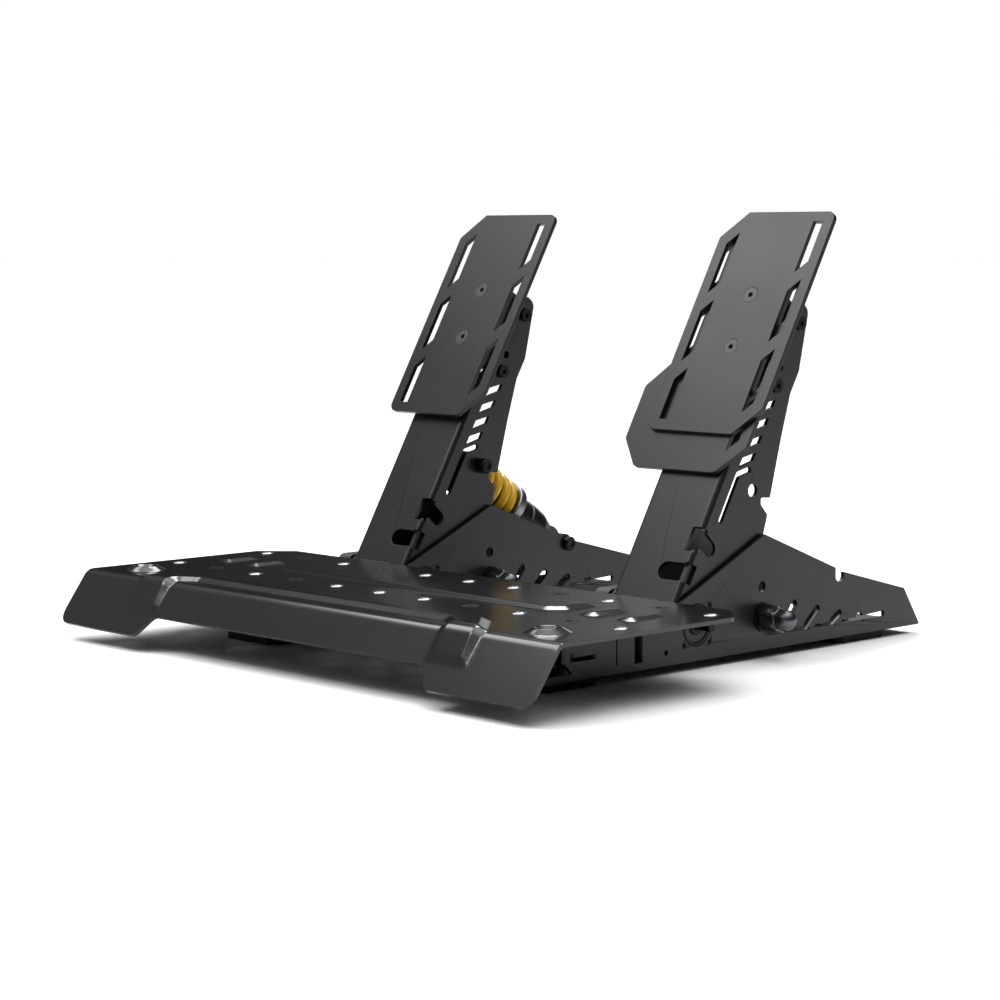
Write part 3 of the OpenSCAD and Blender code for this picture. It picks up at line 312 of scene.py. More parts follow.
def grained(colour, name, grain, roughness, cloud=None, tones=(1.0, 1.0), bump=None, shader=()):
    """A material over noise. The grain and the cloud are each a lump's size in millimetres with the noise's
    detail and roughness. The grain carries the colour between two tones and stands up by the bump's height in
    millimetres, times its strength. The cloud, or else the grain, carries the roughness between its ends."""
    material, tree, spot = new_material(name)
    patterns = []
    for size, detail, harshness in filter(None, (grain, cloud)):
        noise = {"Vector": spot, "Scale": 1 / (size * MM), "Detail": detail, "Roughness": harshness}
        patterns.append(add_node(tree, "ShaderNodeTexNoise", noise).outputs["Fac"])
    span = {"From Min": NOISE_LOW, "From Max": NOISE_HIGH}
    dull = {"Value": patterns[-1], **span, "To Min": roughness[0], "To Max": roughness[1]}
    dark, light = (tuple(tone * channel for channel in colour) for tone in tones)
    look = {"Base Color": dark, "Roughness": add_node(tree, "ShaderNodeMapRange", dull).outputs["Result"]}
    if dark != light:
        share = add_node(tree, "ShaderNodeMapRange", {"Value": patterns[0], **span}).outputs["Result"]
        mix = add_node(tree, "ShaderNodeMix", {0: share, 6: dark, 7: light}, data_type="RGBA")
        look["Base Color"] = mix.outputs[2]
    if bump:
        relief = {"Height": patterns[0], "Distance": bump[0] * MM, "Strength": bump[1]}
        look["Normal"] = add_node(tree, "ShaderNodeBump", relief).outputs["Normal"]
    surface = add_node(tree, "ShaderNodeBsdfPrincipled", {**look, **dict(shader)}).outputs["BSDF"]
    add_node(tree, "ShaderNodeOutputMaterial", {"Surface": surface})
    return material


FINISHES = {
    # Baked polyester powder on steel sheet: a dull black skin with a fine pebble, so a lit face shows a faint
    # speckle and a broad soft shine. The real pebble of 0.3 mm is drawn at 0.8 mm, the least that shows.
    "powder_coat": {"name": "Textured powder coat", "colour": "powder_coat", "tones": (0.7, 1.1),
                    "grain": (0.8, 3.0, 0.65), "cloud": (60.0, 2.0, 0.5), "roughness": (0.32, 0.38),
                    "bump": (0.035, 0.8), "shader": {"IOR": 1.45}},
    # The same powder on the heel plate, flowed out smoother by its thicker coat: shoes and pedals mirror
    # softly in it. The pebble is drawn at 1 mm.
    "heel_coat": {"name": "Satin powder coat", "colour": "powder_coat", "tones": (0.85, 1.15),
                  "grain": (1.0, 3.0, 0.6), "cloud": (80.0, 2.0, 0.5), "roughness": (0.17, 0.21),
                  "bump": (0.01, 0.7), "shader": {"IOR": 1.55}},
    # Black chromated zinc on turned steel: a dark metal with a slight sheen, a little cloudy.
    "black_zinc": {"name": "Black zinc plate", "colour": "black_zinc", "grain": (0.5, *LUMPS),
                   "cloud": (3.0, *LUMPS), "roughness": (0.3, 0.42), "bump": (0.006, 1.0),
                   "shader": {"Metallic": 0.85}},
    # Bare turned steel: bright, with a shine blurred by the tool's marks.
    "plain_steel": {"name": "Bright steel", "colour": "steel", "grain": (0.6, *LATHE),
                    "roughness": (0.22, 0.36), "shader": {"Metallic": 1.0}},
    # Drawn wire under oil: darker than bare steel and blurred along its length.
    "spring_steel": {"name": "Oiled spring steel", "colour": "steel", "tones": (0.5, 0.5),
                     "grain": (1.0, *LATHE), "roughness": (0.25, 0.4), "shader": {"Metallic": 1.0}},
    # Dark nickel on turned nuts: a smoky grey metal with a soft shine.
    "dark_nickel": {"name": "Dark nickel", "colour": "nickel", "grain": (0.6, *LATHE),
                    "roughness": (0.28, 0.38), "shader": {"Metallic": 1.0}},
    # Moulded rubber seal of a ball bearing: even, half dull black.
    "sealed_bearing": {"name": "Bearing seal", "colour": "rubber", "grain": (0.7, *LUMPS),
                       "roughness": (0.4, 0.5), "bump": (0.01, 1.0), "shader": {"IOR": 1.5}},
    # Screw heads dipped in dark lacquer: charcoal with a soft shine and no metal's glint.
    "screw_coat": {"name": "Coated screw head", "colour": "screw_coat", "grain": (0.6, *LUMPS),
                   "roughness": (0.36, 0.42), "bump": (0.01, 1.0), "shader": {"IOR": 1.5}},
    # Ground and chromed rod: nearly a mirror.
    "rod_chrome": {"name": "Hard chrome", "colour": "chrome", "grain": (2.0, *LATHE),
                   "roughness": (0.05, 0.12), "shader": {"Metallic": 1.0}},
    # Turned and anodised collar: a mild grey metal with fine rings.
    "collar_grey": {"name": "Grey anodised aluminium", "colour": "collar", "grain": (0.5, *LATHE),
                    "roughness": (0.3, 0.42), "shader": {"Metallic": 1.0}},
    # Epoxy powder on a coiled spring: an even, glossy yellow with a faint orange peel of 2 mm.
    "spring_yellow": {"name": "Yellow spring enamel", "colour": "spring", "grain": (2.0, *LUMPS),
                      "roughness": (0.26, 0.34), "bump": (0.02, 1.0),
                      "shader": {"IOR": 1.52, "Coat Weight": 0.25, "Coat Roughness": 0.12}},
    # Hard-anodised barrel: its thick black oxide hides the metal and leaves a satin skin.
    "damper_black": {"name": "Black hard-anodised barrel", "colour": "barrel", "grain": (0.6, *LUMPS),
                     "roughness": (0.28, 0.38), "bump": (0.008, 1.0), "shader": {"IOR": 1.5}},
    # Moulded rubber feet: dull, with the mould's coarse grain.
    "rubber": {"name": "Black rubber", "colour": "rubber", "grain": (0.7, *LUMPS), "roughness": (0.7, 0.85),
               "bump": (0.03, 1.0), "shader": {"IOR": 1.48}},
    # Moulded ABS housings: the mould's spark-eroded grain gives a half dull black.
    "black_plastic": {"name": "Black ABS", "colour": "plastic", "grain": (0.9, *LUMPS),
                      "roughness": (0.45, 0.6), "bump": (0.02, 1.0), "shader": {"IOR": 1.53}},
    # Bright nickel on thin sheet and on the bare walls of the holes: pale and shiny.
    "socket_metal": {"name": "Nickel-plated shell", "colour": "shell", "grain": (1.5, *LATHE),
                     "roughness": (0.18, 0.3), "shader": {"Metallic": 1.0}},
    # Dull paper under the set, with a faint fibre.
    "studio_paper": {"name": "White studio paper", "colour": "floor", "grain": (4.0, *LUMPS),
                     "roughness": (0.85, 0.95), "shader": {"IOR": 1.45}},
}
TRACK_PITCH = 3.2
made_finishes = {}


def solder_mask(board):
    """Green lacquer over etched copper: thin paler tracks 0.6 mm wide under a glossy film."""
    material, tree, spot = new_material("Green circuit board")
    waves = {"Vector": spot, "Scale": 0.5 / (TRACK_PITCH * MM), "Distortion": 3.0, "Detail": 1.0}
    track = add_node(tree, "ShaderNodeTexWave", waves, bands_direction="X").outputs["Fac"]
    line = add_node(tree, "ShaderNodeMapRange", {"Value": track, "From Min": 0.78, "From Max": 0.84})
    pale = tuple(1.7 * channel + 0.01 for channel in board)
    mix = add_node(tree, "ShaderNodeMix", {0: line.outputs["Result"], 6: board, 7: pale}, data_type="RGBA")
    look = {"Base Color": mix.outputs[2], "Roughness": 0.3, "IOR": 1.5}
    surface = add_node(tree, "ShaderNodeBsdfPrincipled", look).outputs["BSDF"]
    add_node(tree, "ShaderNodeOutputMaterial", {"Surface": surface})
    return material


def finish(slot):
    """The material of a finish, made when it is first asked for."""
    if slot not in made_finishes:
        colours = bpy.context.scene.pedal_colours
        if slot == "circuit_board":
            made_finishes[slot] = solder_mask(tuple(colours.board))
        else:
            look = dict(FINISHES[slot])
            made_finishes[slot] = grained(getattr(colours, look.pop("colour")), **look)
    return made_finishes[slot]


# Heel plate: a pressed sheet, drawn flat and carried over its front bend

PLATE_HALF = 215.0
SHEET = 2.5
BEND_START = 131.0
BEND_RADIUS = 8.0
LIP_LEAN = 36.0
BEND_SWEEP = math.radians(90 - LIP_LEAN)
BEND_U = PLATE_REAR + BEND_START
LIP_U = BEND_U + BEND_RADIUS * BEND_SWEEP
BEND_END = np.array([-BEND_START - BEND_RADIUS * math.sin(BEND_SWEEP),
                     BEND_RADIUS * (math.cos(BEND_SWEEP) - 1)])
ROW_GAP = 73.2
HOLE_PITCH = 40.0
HOLE_COUNT = 11
OPEN_HOLE = 4.15
SCREWED_HOLE = 5.65
SCREW_COLUMNS = (80.0, 160.0)
HOLE_PROFILE = [[3.5, -2.4], [3.5, -0.9], [4.05, -0.25], [4.2, 0.15], [4.45, 0.2], [4.6, 0.02], [4.12, -0.2],
                [4.14, -2.4], [3.5, -2.4]]
REAR_CUT = 19.5
# Corners of the lip's right half: x, drop below the plate's top, corner radius
LIP_CORNERS = [[PLATE_HALF, 0, 0], [PLATE_HALF, 32, 8.5], [133.7, 32, 6], [124, 20, 6]]
DIMPLE = np.array([183.0, PLATE_REAR + 112.5])
DIMPLE_HOLE = 4.1
DIMPLE_PROFILE = np.array([[4.1, 1.3], [6.6, 2.75], [7.3, 3.0], [8.2, 2.85], [12.6, 0.25], [13.6, 0.0]])
DIMPLE_RINGS = (5.0, 6.0, 6.6, 7.0, 7.3, 7.7, 8.2, 9.6, 11.0, 12.0, 12.6, 13.1, 13.6)
BAR_HALF = 132
BAR_REAR, BAR_FRONT = PLATE_REAR + 21, PLATE_REAR + 55
FIELD_REAR, FIELD_FRONT = PLATE_REAR + 106, PLATE_REAR + 125
RIB_STARTS = (-190, -161, 146, 175)
RIB_WIDTH = 15
RIB_SLOPE = 5.2
RIB_HEIGHT = 1.8
PRESS_HEIGHT = 2.7
LEG_X = 140.0
LEG_HALF = 16.5
LEG_END = 18.5
PLATE_EDGE = 0.35
PLATE_EDGE_ANGLE = 50

# Spacing of the sheet's points
OUTLINE_STEP = 2.5
RIM_POINTS = 48
CREASE_HALF = 0.52
CREASE_STEP = 1.2
FLAT_STEP = 6.0
BEND_STEP = 2.0
BEND_ROWS = 14
BEND_MARGIN = 1.6
LINE_GAP = 0.7
RIM_GAP = 0.6


def drop_to_u(drop):
    """Distance down the developed sheet of a point on the lip that lies drop below the plate's top."""
    return LIP_U + (drop + BEND_END[1]) / math.cos(math.radians(LIP_LEAN))


def sheet_frame(u):
    """Depth and height of the sheet's top at distance u from its rear edge, and its upward normal:
    flat, then an arc of the bend radius, then straight down the lip."""
    turn = np.clip((u - BEND_U) / BEND_RADIUS, 0, BEND_SWEEP)
    flat = np.minimum(u, BEND_U)
    down = np.maximum(u - LIP_U, 0)
    y = PLATE_REAR - flat - BEND_RADIUS * np.sin(turn) - down * math.cos(BEND_SWEEP)
    z = BEND_RADIUS * (np.cos(turn) - 1) - down * math.sin(BEND_SWEEP)
    return y, z, -np.sin(turn), np.cos(turn)


def inside_depth(points, outline):
    """Distance of points from an outline's edges, positive inside it."""
    a, b = outline, np.roll(outline, -1, 0)
    edge = b - a
    away = points[:, None] - a
    along = np.clip((away * edge).sum(-1) / (edge ** 2).sum(-1), 0, 1)
    distance = np.linalg.norm(away - along[..., None] * edge, axis=-1).min(1)
    above = (a[:, 1] > points[:, 1, None]) != (b[:, 1] > points[:, 1, None])
    rise = np.where(np.abs(edge[:, 1]) < 1e-9, 1e-9, edge[:, 1])
    cross = points[:, 0, None] < a[:, 0] + (points[:, 1, None] - a[:, 1]) * edge[:, 0] / rise
    odd = (above & cross).sum(1) % 2 == 1
    return np.where(odd, distance, -distance)


def inset(outline, by):
    """An outline drawn in by a distance, its corners kept sharp; its points run anticlockwise."""
    edge = np.roll(outline, -1, 0) - outline
    edge = edge / np.linalg.norm(edge, axis=1)[:, None]
    inward = np.stack([-edge[:, 1], edge[:, 0]], -1)
    middle = inward + np.roll(inward, 1, 0)
    return outline + 2 * by * middle / (middle ** 2).sum(1)[:, None]


def ramp(value, soft=0.1):
    """0 below 0, 1 above 1 and straight between, with both corners rounded over soft on each side."""
    def corner(x):
        return np.where(x < -soft, 0, np.where(x > soft, x, (x + soft) ** 2 / (4 * soft)))
    return corner(value) - corner(value - 1)


def corner_cut(x0, x1, rear, front, cut):
    """A rectangle between x0 and x1 whose two front corners are cut."""
    return np.array([[x0, rear], [x1, rear], [x1, front - cut], [x1 - cut, front], [x0 + cut, front],
                     [x0, front - cut]])


def plate_presses():
    """Outlines of the raised fields, as (outline, height), in x and u: the wide bar, four short ribs, and the
    front field, whose two legs run over the bend and end on the lip."""
    fields = [(corner_cut(-BAR_HALF, BAR_HALF, BAR_REAR, BAR_FRONT, 10), RIB_HEIGHT)]
    for x in RIB_STARTS:
        fields.append((corner_cut(x, x + RIB_WIDTH, BAR_REAR + 3, BAR_FRONT - 1, 4), RIB_HEIGHT))
    inner, outer, end = LEG_X - LEG_HALF, LEG_X + LEG_HALF, drop_to_u(LEG_END)
    right = np.array([[BAR_HALF, FIELD_REAR], [outer - 2, BEND_U - 1], [outer, BEND_U + 2], [outer, end],
                      [inner, end], [inner, BEND_U], [inner - 10.5, FIELD_FRONT]])
    fields.append((np.concatenate([right, right[::-1] * [-1, 1]]), PRESS_HEIGHT))
    return fields


def press_height(points):
    """Height of the pressing at points (x, u): each field climbs its straight wall by the distance inside its
    outline, the legs sink a little down the lip, and each dimple is a ring that dips to its hole."""
    height = np.zeros(len(points))
    for outline, top in plate_presses():
        height = np.maximum(height, top * ramp(inside_depth(points, outline) / RIB_SLOPE))
    height *= np.interp(points[:, 1], [drop_to_u(2.0), drop_to_u(LEG_END)], [1.0, 0.5])
    from_dimple = np.hypot(np.abs(points[:, 0]) - DIMPLE[0], points[:, 1] - DIMPLE[1])
    ring = np.interp(from_dimple, DIMPLE_PROFILE[:, 0], DIMPLE_PROFILE[:, 1])
    return np.where(from_dimple < DIMPLE_PROFILE[-1, 0], np.maximum(ring, 0), height)


def plate_outline():
    """The sheet's outline in x and u: cut rear corners, two rounded tabs and the lip's shallower middle."""
    front = rounded(LIP_CORNERS + [[-x, drop, radius] for x, drop, radius in LIP_CORNERS[::-1]], 7)[1:-1]
    front = np.stack([front[:, 0], drop_to_u(front[:, 1])], -1)
    rear = np.array([[-PLATE_HALF, REAR_CUT], [-PLATE_HALF + REAR_CUT, 0], [PLATE_HALF - REAR_CUT, 0],
                     [PLATE_HALF, REAR_CUT]])
    return np.concatenate([rear, front])


def plate_holes():
    """Centre and radius of every hole, in x and u; the screwed ones are as wide as a countersunk head."""
    holes = []
    for u in (PLATE_REAR, PLATE_REAR + ROW_GAP):
        for x in (np.arange(HOLE_COUNT) - HOLE_COUNT // 2) * HOLE_PITCH:
            holes.append((x, u, SCREWED_HOLE if abs(x) in SCREW_COLUMNS else OPEN_HOLE))
    for side in (-1, 1):
        holes.append((side * DIMPLE[0], DIMPLE[1], DIMPLE_HOLE))
    return np.array(holes)


def circle(x, u, radius):
    """A circle of points in x and u."""
    angle = np.linspace(0, 2 * np.pi, RIM_POINTS, endpoint=False)
    return np.stack([x + radius * np.cos(angle), u + radius * np.sin(angle)], -1)


def crease_lines():
    """Closed lines along the four corners of every wall, and rings round the dimples, with points close
    enough to follow the bend."""
    lines = []
    for field, _ in plate_presses():
        for by in (-CREASE_HALF, CREASE_HALF, RIB_SLOPE - CREASE_HALF, RIB_SLOPE + CREASE_HALF):
            lines.append(resampled(inset(field, by), CREASE_STEP))
    for side in (-1, 1):
        lines += [circle(side * DIMPLE[0], DIMPLE[1], radius) for radius in DIMPLE_RINGS]
    return lines


def sheet_points(outline, holes, lines):
    """Inner points: a coarse grid on the flats and rows close together round the bend, clear of the other
    lines."""
    low, high = outline.min(0), outline.max(0)

    def lattice(across, u):
        x, u = np.meshgrid(np.arange(low[0] + across / 2, high[0], across), u)
        return np.stack([x.ravel(), u.ravel()], -1)

    coarse = lattice(FLAT_STEP, np.arange(low[1] + FLAT_STEP / 2, high[1], FLAT_STEP))
    coarse = coarse[(coarse[:, 1] < BEND_U - FLAT_STEP / 2) | (coarse[:, 1] > LIP_U + 2)]
    rows = np.linspace(BEND_U - BEND_MARGIN, LIP_U + BEND_MARGIN, BEND_ROWS)
    points = np.concatenate([coarse, lattice(BEND_STEP, rows)])
    points = points[inside_depth(points, outline) > LINE_GAP]
    gap = np.hypot(points[:, 0, None] - holes[:, 0], points[:, 1, None] - holes[:, 1]) - holes[:, 2]
    points = points[gap.min(1) > RIM_GAP]
    from_dimple = np.hypot(np.abs(points[:, 0]) - DIMPLE[0], points[:, 1] - DIMPLE[1])
    points = points[from_dimple > DIMPLE_PROFILE[-1, 0] + 0.5]
    return points[nearest_gap(points, np.concatenate(lines)) > LINE_GAP]


def nearest_gap(points, others):
    """Distance from each point to the nearest of the others, worked out in slices to spare memory."""
    slices = np.array_split(points, max(1, len(points) // 200))
    return np.concatenate([np.sqrt(((part[:, None] - others) ** 2).sum(-1).min(1)) for part in slices])


def heel_sheet():
    """Delaunay triangles of the outline, the hole rims, the crease lines and the inner points, each point
    lifted by the pressing's height along the sheet's normal."""
    holes = plate_holes()
    lines = crease_lines()
    loops = [resampled(plate_outline(), OUTLINE_STEP), *(circle(*hole) for hole in holes), *lines]
    sizes = np.array([len(loop) for loop in loops])
    starts = np.concatenate([[0], np.cumsum(sizes)[:-1]])
    edges = np.concatenate([np.stack([s + np.arange(n), s + (np.arange(n) + 1) % n], -1)
                            for s, n in zip(starts, sizes)])
    flat = np.concatenate([*loops, sheet_points(plate_outline(), holes, lines)])
    done = delaunay_2d_cdt([Vector(p) for p in flat.tolist()], edges.tolist(), [], 0, 1e-5)
    flat = np.array([tuple(v) for v in done[0]])
    faces = np.array(done[2])
    middle = flat[faces].mean(1)
    gap = np.hypot(middle[:, 0, None] - holes[:, 0], middle[:, 1, None] - holes[:, 1]) - holes[:, 2]
    faces = faces[(gap.min(1) > -0.02) & (inside_depth(middle, plate_outline()) > 0)]
    y, z, out_y, out_z = sheet_frame(flat[:, 1])
    lift = press_height(flat)
    return np.stack([flat[:, 0], y + out_y * lift, z + out_z * lift], -1), faces


def hole_ring():
    """The bare countersunk wall of an open hole: a short bore under a cone, and a thin raised rim."""
    return revolved(HOLE_PROFILE, 40)


class PEDALS_OT_heel_plate(bpy.types.Operator):
    """Pressed steel heel plate with its ribs, dimples, hole rows and front lip"""
    bl_idname = "pedals.heel_plate"
    bl_label = "Heel Plate"

    def execute(self, context):
        points, faces = heel_sheet()
        piece = add_piece("heel_plate_sheet", points, faces, in_seat, "base", "powder_coat",
                          ["heel_plate"], look="heel_coat", sharp=PLATE_EDGE_ANGLE)
        if piece.data.polygons[0].normal.z < 0:
            piece.data.flip_normals()
        add_modifier(piece, "SOLIDIFY", thickness=SHEET * MM, offset=-1.0)
        add_modifier(piece, "BEVEL", width=PLATE_EDGE * MM, segments=2, limit_method="ANGLE",
                     angle_limit=math.radians(PLATE_EDGE_ANGLE), face_strength_mode="FSTR_ALL")
        add_modifier(piece, "WEIGHTED_NORMAL", weight=90, use_face_influence=True)
        ring_points, ring_faces = hole_ring()
        places = [[x, PLATE_REAR - u, 0] for x, u, radius in plate_holes() if radius == OPEN_HOLE]
        points, faces = joined(*((ring_points + place, ring_faces) for place in places))
        add_piece("plate_hole_walls", points, faces, in_seat, "base", "socket_metal")
        return {"FINISHED"}


# CAD pieces that keep their shape: they are only welded, given broken edges and a finish

CAD_FINISH = {
    "powder_coat": ["brake_bracket", "throttle_bracket", "brake_arm", "throttle_arm",
                    "brake_pad_bracket", "throttle_pad_bracket", "brake_face_plate", "throttle_face_plate",
                    "throttle_lower_plate"],
    "black_zinc": ["heel_plate_screws", "brake_pivot_shaft", "throttle_pivot_shaft", "brake_bearing_carriers",
                   "throttle_bearing_carriers", "carrier_screws", "sensor_screws", "brake_bolt_washer",
                   "throttle_bolt_washer", "brake_pad_spacer", "brake_pad_bracket_screws",
                   "throttle_pad_bracket_screws", "damper_front_spacers", "damper_rear_spacers"],
    "screw_coat": ["brake_face_screws", "throttle_face_screws"],
    "plain_steel": ["foot_screws", "brake_magnet", "throttle_magnet"],
    "sealed_bearing": ["brake_bearings", "throttle_bearings"],
    "rubber": ["brake_front_foot", "brake_rear_foot", "throttle_front_foot", "throttle_rear_foot",
               "brake_stop_sleeve", "throttle_stop_sleeve", "brake_rest_buffer", "throttle_rest_buffer"],
    "black_plastic": ["brake_sensor_housing", "throttle_sensor_housing", "control_box", "control_box_lid"],
    "circuit_board": ["brake_sensor_board", "throttle_sensor_board", "control_board"],
    "socket_metal": ["socket_block"],
}
# Millimetres taken off each edge of a slot's pieces
BROKEN_EDGE = {"powder_coat": 0.3, "black_zinc": 0.2, "screw_coat": 0.2, "plain_steel": 0.15,
               "sealed_bearing": 0.2, "rubber": 0.5, "black_plastic": 0.4,
               "circuit_board": 0.1, "socket_metal": 0.15}
EDGE_ANGLE = math.radians(32)
WELD_GAP = 1e-6


def dress(*slots):
    """Gives every CAD piece of these slots its finish: doubles welded, then edges broken."""
    for slot in slots:
        for name in CAD_FINISH[slot]:
            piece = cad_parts[name]
            piece.data.materials.clear()
            piece.data.materials.append(finish(slot))
            add_modifier(piece, "WELD", merge_threshold=WELD_GAP)
            add_modifier(piece, "BEVEL", width=BROKEN_EDGE[slot] * MM, segments=2, limit_method="ANGLE",
                         angle_limit=EDGE_ANGLE, use_clamp_overlap=False, face_strength_mode="FSTR_ALL")
            add_modifier(piece, "WEIGHTED_NORMAL", use_face_influence=True)
    return {"FINISHED"}


class PEDALS_OT_sheet_metal(bpy.types.Operator):
    """Powder-coated brackets, arms, pad brackets and face plates"""
    bl_idname = "pedals.sheet_metal"
    bl_label = "Brackets, Arms and Face Plates"

    def execute(self, context):
        return dress("powder_coat")


class PEDALS_OT_hardware(bpy.types.Operator):
    """Screws, shafts, bearings, spacers and magnets"""
    bl_idname = "pedals.hardware"
    bl_label = "Shafts, Bearings and Screws"

    def execute(self, context):
        return dress("black_zinc", "screw_coat", "plain_steel", "sealed_bearing")


class PEDALS_OT_rubber(bpy.types.Operator):
    """Rubber feet, stop sleeves and rest buffers"""
    bl_idname = "pedals.rubber"
    bl_label = "Feet and Buffers"

    def execute(self, context):
        return dress("rubber")


class PEDALS_OT_electronics(bpy.types.Operator):
    """Sensor housings, control box, boards and sockets"""
    bl_idname = "pedals.electronics"
    bl_label = "Sensors and Control Box"

    def execute(self, context):
        return dress("black_plastic", "circuit_board", "socket_metal")


# Springs

COIL_RADIUS = 14.6
COIL_WIRE = 6.0
COIL_TURNS = 4.1
COIL_STEP = 1 / 40
COIL_SEAT = 12.0
COIL_LENGTH = 40.0
COIL_CLEARANCE = 0.1
COIL_END = COIL_SEAT + COIL_LENGTH + 2 * COIL_CLEARANCE
DEAD_TURNS = 0.75
DEAD_PITCH = COIL_WIRE + 0.5
PITCH_BLEND = 6
RETURN_WIRE_RADIUS = 1.2
RETURN_RADIUS = 12.7
RETURN_PITCH = 3.0
RETURN_SWEEP = 1552.0
RETURN_STEP = 8.0
RETURN_HALF = RETURN_PITCH * RETURN_SWEEP / 720
ARM_LEG_Y = -17.0
ARM_LEG_Z = (34.0, 28.0)
FLOOR_LEG = 34.0
LEG_BEND = 3.0


def coil_path():
    """Helix round Z whose height climbs one wire a turn on the closed ends and evenly between:
    point = (r cos a, r sin a, z(a)). Each change of pitch is averaged over a few steps."""
    turn = np.arange(0, COIL_TURNS + COIL_STEP / 2, COIL_STEP)
    first = COIL_SEAT + COIL_WIRE / 2 + COIL_CLEARANCE
    open_turns = COIL_TURNS - 2 * DEAD_TURNS
    pitch = (COIL_LENGTH - COIL_WIRE - 2 * COIL_CLEARANCE - 2 * DEAD_TURNS * DEAD_PITCH) / open_turns
    z = (first + DEAD_PITCH * np.minimum(turn, DEAD_TURNS)
         + pitch * np.clip(turn - DEAD_TURNS, 0, open_turns)
         + DEAD_PITCH * np.maximum(turn - COIL_TURNS + DEAD_TURNS, 0))
    window = np.ones(2 * PITCH_BLEND + 1) / (2 * PITCH_BLEND + 1)
    z = np.convolve(np.pad(z, PITCH_BLEND, mode="reflect", reflect_type="odd"), window, mode="valid")
    return np.stack([COIL_RADIUS * np.cos(2 * np.pi * turn), COIL_RADIUS * np.sin(2 * np.pi * turn), z], -1)


def softened(path, reach, step=0.5):
    """A line resampled evenly and averaged over a run of reach, so its corners become arcs; the ends stay."""
    line = resampled(path, step, closed=False)
    count = 2 * int(reach / step / 2) + 1
    padded = np.pad(line, ((count // 2, count // 2), (0, 0)), mode="reflect", reflect_type="odd")
    return np.stack([np.convolve(padded[:, k], np.ones(count) / count, mode="valid") for k in range(3)], -1)


def return_path():
    """Torsion spring round X: a leg down the arm's face, a helix, and a leg that leaves the helix along its
    tangent to lie on the bracket's floor."""
    angle = np.arange(0, RETURN_SWEEP + 1, RETURN_STEP)
    turn = np.radians(angle)
    helix = np.stack([RETURN_PITCH * angle / 360 - RETURN_HALF, -RETURN_RADIUS * np.cos(turn),
                      -RETURN_RADIUS * np.sin(turn)], -1)
    last = math.radians(RETURN_SWEEP)
    out = np.array([0, math.sin(last), -math.cos(last)])
    arm_leg = np.array([[-RETURN_HALF, ARM_LEG_Y, z] for z in ARM_LEG_Z])
    floor_leg = [helix[-1] + FLOOR_LEG / 2 * out, helix[-1] + FLOOR_LEG * out]
    return softened(np.concatenate([arm_leg, helix, floor_leg]), LEG_BEND)


class PEDALS_OT_springs(bpy.types.Operator):
    """Yellow damper spring and the throttle's return spring"""
    bl_idname = "pedals.springs"
    bl_label = "Springs"

    def execute(self, context):
        points, faces = tube(coil_path(), COIL_WIRE / 2, (0, 0, 1), 20)
        coil = add_piece("damper_coil", points, faces, in_damper, "damper_barrel", "spring_yellow",
                         ["damper_spring"])
        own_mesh(coil)
        points, faces = tube(return_path(), RETURN_WIRE_RADIUS, (1, 0, 0), 12)
        spring = add_piece("throttle_torsion_spring", points, faces, in_arm(THROTTLE_X), None, "spring_steel",
                           ["throttle_return_spring"])
        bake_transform(spring)
        return {"FINISHED"}


# Damper and turned hardware: profiles are (radius, z, corner radius) in the piece's own frame

BARREL_SHOULDER = 59.4
BARREL_EDGE = 86.0
GUIDE_RADIUS = 9.5
BARREL_PROFILE = [
    [0, BARREL_SHOULDER - 31, 0], [GUIDE_RADIUS, BARREL_SHOULDER - 31, 0.8],
    [GUIDE_RADIUS, BARREL_SHOULDER, 0.2], [13.6, BARREL_SHOULDER, 0.4], [14.8, BARREL_SHOULDER + 12.5, 0.4],
    [15.9, BARREL_SHOULDER + 13.2, 0.6], [15.9, BARREL_EDGE, 1.5], [13.8, DAMPER_LENGTH - 4, 2.5],
    [9.0, DAMPER_LENGTH - 1, 1.0], [0, DAMPER_LENGTH - 1, 0],
]
COLLAR_PROFILE = [[9.55, 0, 0], [18.2, 0, 0.5], [19.0, 0.8, 0.5], [19.0, 6.2, 0.5], [18.2, 7.0, 0.5],
                  [9.55, 7.0, 0]]
ROD_PROFILE = [[0, COIL_SEAT - 0.4, 0], [5.0, COIL_SEAT - 0.4, 0.2], [5.0, 60.0, 0.8], [0, 60.0, 0]]
SEAT_PROFILE = [[0, 3, 0], [6.0, 3, 0.3], [6.0, 8.2, 1.2], [9.5, 9.5, 0.8], [15.8, 9.5, 0.4],
                [17.0, 10.2, 0.5], [17.0, 11.4, 0.4], [16.2, COIL_SEAT, 0.4], [0, COIL_SEAT, 0]]
EYE_HALF = 11.0
REAR_EYE = {"radius": 11.0, "bore": 3.92}
FRONT_EYE = {"radius": 9.0, "bore": 4.35}
RIM_CUT = 0.8


def cross_barrel(radius, bore, z):
    """A tube of that radius and bore along X, centred at height z, with its rims broken."""
    inner, side = radius - RIM_CUT, EYE_HALF - RIM_CUT
    profile = np.array([[bore, -EYE_HALF], [inner, -EYE_HALF], [radius, -side], [radius, side],
                        [inner, EYE_HALF], [bore, EYE_HALF], [bore, -EYE_HALF]])
    points, faces = revolved(profile, 56)
    return along_x(points) + [0, 0, z], faces


